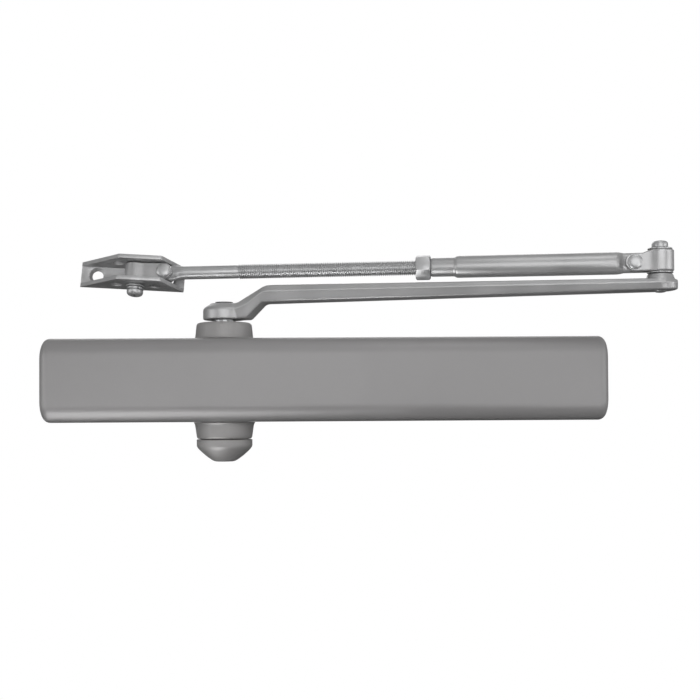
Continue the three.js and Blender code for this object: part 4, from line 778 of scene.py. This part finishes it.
tube_section = [
    (
        TUBE_RADIUS * math.cos(math.radians(ROUND_STEP * step)),
        TUBE_RADIUS * math.sin(math.radians(ROUND_STEP * step)),
    )
    for step in range(ROUND_SIDES)
]
tube_shape = [
    (-122.5, 0.79, 0.79), (-122.2, 0.84, 0.84), (-121.7, 0.858, 0.858), (-110.4, 0.858, 0.858),
    (-109.8, 0.868, 0.868), (-109.3, 0.90, 0.90), (-108.9, 0.955, 0.955), (-108.4, 0.985, 0.985),
    (-107.8, 1.0, 1.0), (-80, 1, 1), (-50, 1, 1), (-23.6, 1.0, 1.0), (-22.8, 0.97, 0.998),
    (-22.0, 0.87, 0.99), (-21.2, 0.72, 0.975), (-20.4, 0.57, 0.95), (-19.7, 0.475, 0.92),
    (-19.0, 0.435, 0.90), (-ELBOW_REACH, 0.433, 0.90),
]
tube_nose = [
    (-ELBOW_REACH + 5.4 * math.sin(math.radians(turn)), 0.433, 0.90 * math.cos(math.radians(turn)))
    for turn in (20, 40, 57, 71, 82)
]
tube_stations = [(x, 0, FOREARM_Z, 0, wide, high) for x, wide, high in tube_shape + tube_nose]
tube = sweep("forearm_outer_tube", tube_section, tube_stations)
bore(tube, ROD_HOLE, -123.5, -50.5, "X", (0, 0, FOREARM_Z))
bore(tube, RIVET_HOLE, -9, 9, "Y", (-ELBOW_REACH, 0, FOREARM_Z))
smooth_shade(tube, 35)
place(tube, FOREARM_SPOT)
finish_piece(tube, "forearm_tube", "arm_paint", "forearm_tube")

# ---- Jam nut ---------------------------------------------------------------------------------
# A plated half-inch hexagon nut, chamfered on both faces, run up against the end of the tube.

NUT_HALF_FLATS = 6.35
NUT_FACES = (-130.8, -122.8)
NUT_TURN = 15.6

nut_corner = NUT_HALF_FLATS / math.cos(math.pi / 6)
nut_section = [
    (
        nut_corner * math.cos(math.radians(60 * side + NUT_TURN)),
        nut_corner * math.sin(math.radians(60 * side + NUT_TURN)),
    )
    for side in range(6)
]
jam_nut = sweep("hexagon_jam_nut", nut_section, [
    (NUT_FACES[0], 0, FOREARM_Z, 0, 1, 1), (NUT_FACES[1], 0, FOREARM_Z, 0, 1, 1),
])
nut_chamfer = [
    (6.1, NUT_FACES[0]), (nut_corner + 0.1, NUT_FACES[0] + 0.85),
    (nut_corner + 0.1, NUT_FACES[1] - 0.85), (6.1, NUT_FACES[1]),
]
cut(jam_nut, turned("nut_blank", nut_chamfer, "X", (0, 0, FOREARM_Z), 72), "INTERSECT")
bore(jam_nut, ROD_HOLE, NUT_FACES[0] - 1, NUT_FACES[1] + 1, "X", (0, 0, FOREARM_Z))
ease_edges(jam_nut, 0.18, angle=28)
place(jam_nut, FOREARM_SPOT)
finish_piece(jam_nut, "jam_nut", "zinc", "jam_nut")

# ---- Forearm rod -----------------------------------------------------------------------------
# Plated steel rod with a rolled fine thread, one turn for each 1.06 mm, that screws into the
# tube, and a flattened eye at its plain end, held by the shoe's rivet.

ROD_ROLL = math.radians(-10)
ROD_SPOT = FOREARM_SPOT @ Matrix.Translation(Vector((0, 0, FOREARM_Z)) * MM)
ROD_SPOT = ROD_SPOT @ Matrix.Rotation(ROD_ROLL, 4, "X")
SHOE_RIVET_X = -272.6
ROD_PLAIN = 3.72
THREAD_ROOT = 3.42
THREAD_CREST = 4.05
THREAD_PITCH = 1.06
THREAD_START = -230.0
THREAD_END = -82.0

rod_section = [
    (math.cos(math.radians(ROUND_STEP * step)), math.sin(math.radians(ROUND_STEP * step)))
    for step in range(ROUND_SIDES)
]
rod_eye = [
    (SHOE_RIVET_X - 4.3 * math.sin(math.radians(turn)), 2.6, 4.4 * math.cos(math.radians(turn)))
    for turn in (82, 71, 57, 40, 20, 0)
]
rod_shape = rod_eye + [
    (-267.5, 2.6, 4.4), (-266.5, 2.75, 4.35), (-265.3, 3.15, 4.2), (-264.0, 3.5, 3.95),
    (-262.7, ROD_PLAIN, 3.8), (-261.3, ROD_PLAIN, ROD_PLAIN), (-231.2, ROD_PLAIN, ROD_PLAIN),
    (-230.2, THREAD_ROOT, THREAD_ROOT), (-81.1, THREAD_ROOT, THREAD_ROOT), (-80.5, 2.9, 2.9),
]
rod_stations = [(x, 0, 0, 0, wide, high) for x, wide, high in rod_shape]
rod = sweep("threaded_rod", rod_section, rod_stations)
bore(rod, RIVET_HOLE, -9, 9, "Y", (SHOE_RIVET_X, 0, 0))

begin()
thread_turns = round((THREAD_END - THREAD_START) / THREAD_PITCH)
bpy.ops.mesh.primitive_plane_add(size=MM, location=(0, 0, 0), rotation=(math.pi / 2, 0, 0))
thread = bpy.context.object
bpy.ops.object.transform_apply(location=True, rotation=True, scale=True)
bpy.ops.object.mode_set(mode="EDIT")
bpy.ops.mesh.select_all(action="SELECT")
bpy.ops.mesh.delete(type="ONLY_FACE")
bpy.ops.object.mode_set(mode="OBJECT")
thread_corners = {
    (-1, -1): (-0.50, THREAD_ROOT - 0.35), (1, -1): (0.50, THREAD_ROOT - 0.35),
    (-1, 1): (-0.10, THREAD_CREST), (1, 1): (0.10, THREAD_CREST),
}
for corner in thread.data.vertices:
    side = (1 if corner.co.x > 0 else -1, 1 if corner.co.z > 0 else -1)
    along, out = thread_corners[side]
    corner.co = Vector((THREAD_START + along, 0, out)) * MM
apply_modifier(
    thread, "SCREW", axis="X", screw_offset=THREAD_PITCH * MM, iterations=thread_turns,
    steps=24, render_steps=24, use_merge_vertices=False, use_normal_calculate=True,
)
bpy.ops.object.mode_set(mode="EDIT")
bpy.ops.mesh.select_all(action="DESELECT")
bpy.ops.mesh.select_non_manifold()
bpy.ops.mesh.edge_face_add()
bpy.ops.mesh.select_all(action="SELECT")
bpy.ops.mesh.normals_make_consistent(inside=False)
bpy.ops.object.mode_set(mode="OBJECT")
cut(rod, thread, "UNION")
smooth_shade(rod, 30)
place(rod, ROD_SPOT)
finish_piece(rod, "forearm_rod", "zinc", "forearm_rod")

# ---- Shoe yoke and rivet ---------------------------------------------------------------------
# A smaller strap bent round the shoe's pivot, painted, and riveted through the eye of the rod.

SHOE_TILT = math.radians(2)
SHOE_REACH = 17.1
TILT_SPOT = ROD_SPOT @ Matrix.Translation(Vector((SHOE_RIVET_X, 0, 0)) * MM)
TILT_SPOT = TILT_SPOT @ Matrix.Rotation(SHOE_TILT, 4, "Y")
SHOE_PIN_SPOT = TILT_SPOT @ Matrix.Translation(Vector((-SHOE_REACH, 0, 0)) * MM)

shoe_yoke = bent_strap("shoe_strap", 6.6, 2.2, 4.7, SHOE_REACH, 0, 0)
place(shoe_yoke, SHOE_PIN_SPOT @ Matrix.Rotation(math.pi, 4, "Z"))
finish_piece(shoe_yoke, "shoe_yoke", "arm_paint", "shoe_yoke")

shoe_rivet = rivet("shoe_strap_rivet", 0, 5.2, 0)
place(shoe_rivet, TILT_SPOT)
finish_piece(shoe_rivet, "shoe_yoke", "zinc", "shoe_rivet")

# ---- Shoe ------------------------------------------------------------------------------------
# A channel pressed from sheet steel and painted: a web that is screwed to the frame through two
# sunk holes, and two flanges that narrow to its ends, each with three holes for the pivot.

SHOE_SPOT = SHOE_PIN_SPOT @ Matrix.Rotation(-FOREARM_ANGLE, 4, "Z")
SHOE_ENDS = (-33.5, 25.7)
SHOE_HALF_DEPTH = 12
SHOE_SHEET = 2.2
SHOE_INSIDE = 5.1
SHOE_OUTSIDE = SHOE_INSIDE + SHOE_SHEET
WEB_FRONT = SHOE_HALF_DEPTH - SHOE_SHEET

SHOE_FLAT = (-8.2, 15.2)
SHOE_SCREW_INSET = 9.2

shoe_plan = [
    (SHOE_HALF_DEPTH, -SHOE_ENDS[1]), (SHOE_HALF_DEPTH, -SHOE_ENDS[0]),
    (WEB_FRONT - 0.2, -SHOE_ENDS[0]), (WEB_FRONT - 0.8, -0.4 - SHOE_ENDS[0]),
    (1 - SHOE_HALF_DEPTH, 1.2 - SHOE_FLAT[0]), (0.15 - SHOE_HALF_DEPTH, 0.4 - SHOE_FLAT[0]),
    (-SHOE_HALF_DEPTH, -0.6 - SHOE_FLAT[0]), (-SHOE_HALF_DEPTH, 0.7 - SHOE_FLAT[1]),
    (0.2 - SHOE_HALF_DEPTH, -0.3 - SHOE_FLAT[1]), (1.1 - SHOE_HALF_DEPTH, -0.9 - SHOE_FLAT[1]),
    (WEB_FRONT - 0.8, 0.3 - SHOE_ENDS[1]), (WEB_FRONT - 0.2, -SHOE_ENDS[1]),
]
shoe = sweep("shoe_channel", shoe_plan, [
    (-SHOE_OUTSIDE, 0, 0, 0, 1, 1), (SHOE_OUTSIDE, 0, 0, 0, 1, 1),
])
place(shoe, Matrix.Rotation(-math.pi / 2, 4, "Y"))
bpy.ops.object.mode_set(mode="EDIT")
bpy.ops.mesh.select_all(action="DESELECT")
bpy.ops.mesh.select_mode(type="EDGE")
bpy.ops.object.mode_set(mode="OBJECT")
for edge in shoe.data.edges:
    ends = [shoe.data.vertices[number].co / MM for number in edge.vertices]
    at_back = all(end.y > SHOE_HALF_DEPTH - 0.1 for end in ends)
    edge.select = at_back and abs(ends[0].x - ends[1].x) > 10
bpy.ops.object.mode_set(mode="EDIT")
bpy.ops.mesh.bevel(offset=2.4 * MM, segments=6)
bpy.ops.mesh.select_mode(type="VERT")
bpy.ops.object.mode_set(mode="OBJECT")
cut(shoe, rounded_box(
    "channel_tool", (-40, -20, -SHOE_INSIDE), (40, WEB_FRONT, SHOE_INSIDE),
))
for x in (-11, 0, 11):
    bore(shoe, 3.3, -SHOE_OUTSIDE - 1, SHOE_OUTSIDE + 1, at=(x, 0, 0))
for x in (SHOE_ENDS[0] + SHOE_SCREW_INSET, SHOE_ENDS[1] - SHOE_SCREW_INSET):
    sink = [(5.15, WEB_FRONT - 0.5), (3.2, WEB_FRONT + 1.45), (3.2, SHOE_HALF_DEPTH + 1)]
    cut(shoe, turned("sink_tool", sink, "Y", (x, 0, 0), 40))
ease_edges(shoe, 0.3, angle=40)
place(shoe, SHOE_SPOT)
finish_piece(shoe, "shoe", "arm_paint", "shoe_bracket")

# ---- Shoe pivot screw and washers ------------------------------------------------------------
# A plated pan-head screw put in from below, with a split spring washer and a flat washer.

FLAT_WASHER_SPAN = (-8.4, -7.6)
LOCK_WASHER_SPAN = (-10.0, -8.7)
SCREW_SEAT = -10.3

flat_washer = washer("shoe_plain_washer", 3.3, 5.2, *FLAT_WASHER_SPAN)
place(flat_washer, SHOE_SPOT)
finish_piece(flat_washer, "shoe", "zinc", "shoe_flat_washer")

lock_washer = washer("shoe_split_washer", 3.3, 4.7, *LOCK_WASHER_SPAN)
split_tool = rounded_box("split_tool", (0, -0.35, -14), (8, 0.35, -6))
place(split_tool, Matrix.Rotation(math.radians(-60), 4, "Z"))
cut(lock_washer, split_tool)
place(lock_washer, SHOE_SPOT)
finish_piece(lock_washer, "shoe", "zinc", "shoe_lock_washer")

screw_profile = [
    (0.5, SCREW_SEAT - 3.4), (2.1, SCREW_SEAT - 3.35), (3.1, SCREW_SEAT - 3.1),
    (3.9, SCREW_SEAT - 2.65), (4.4, SCREW_SEAT - 2.0), (4.6, SCREW_SEAT - 1.2),
    (4.6, SCREW_SEAT - 0.25), (4.4, SCREW_SEAT), (3.0, SCREW_SEAT), (3.0, 7.9), (2.5, 8.5),
    (0.5, 8.5),
]
pivot_screw = turned("shoe_pan_screw", screw_profile, sides=48)
recess_span = (SCREW_SEAT - 5, SCREW_SEAT - 1.9)
for low, high in (((-0.6, -2.7), (0.6, 2.7)), ((-2.7, -0.6), (2.7, 0.6))):
    cut(pivot_screw, rounded_box("recess_tool", (*low, recess_span[0]), (*high, recess_span[1])))
place(pivot_screw, SHOE_SPOT)
finish_piece(pivot_screw, "shoe", "zinc", "shoe_pivot_screw")

# ---- Pieces that keep their solids -----------------------------------------------------------
# The body, its cylinder parts, valves, bearings and clips are hidden by the cover or sit inside
# other pieces. They keep the shapes they have and take their finishes here.

surface(
    "casting", (0.36, 0.365, 0.37), (0.50, 0.50, 0.505), 0.45, 0.62, 0.85,
    cloud=70, grain=900, relief=0.9,
)
surface(
    "steel", (0.38, 0.385, 0.39), (0.52, 0.525, 0.53), 0.24, 0.38, 0.95,
    cloud=90, grain=1500, relief=0.3, stretch=(1, 1, 6),
)
surface(
    "dark_steel", (0.045, 0.047, 0.05), (0.085, 0.087, 0.09), 0.32, 0.48, 0.85,
    cloud=90, grain=1300, relief=0.5,
)
surface(
    "bronze", (0.42, 0.25, 0.10), (0.58, 0.37, 0.17), 0.28, 0.42, 0.95,
    cloud=110, grain=1400, relief=0.4,
)
surface(
    "rubber", (0.012, 0.012, 0.013), (0.024, 0.024, 0.025), 0.62, 0.80, 0.0,
    cloud=150, grain=1800, relief=0.6,
)

for part in frame["record"]["subparts"]:
    node = frame["nodes"][part["node"]]
    if node.hide_render:
        continue
    node.data.materials.clear()
    node.data.materials.append(FINISHES[part["material_slot"]])
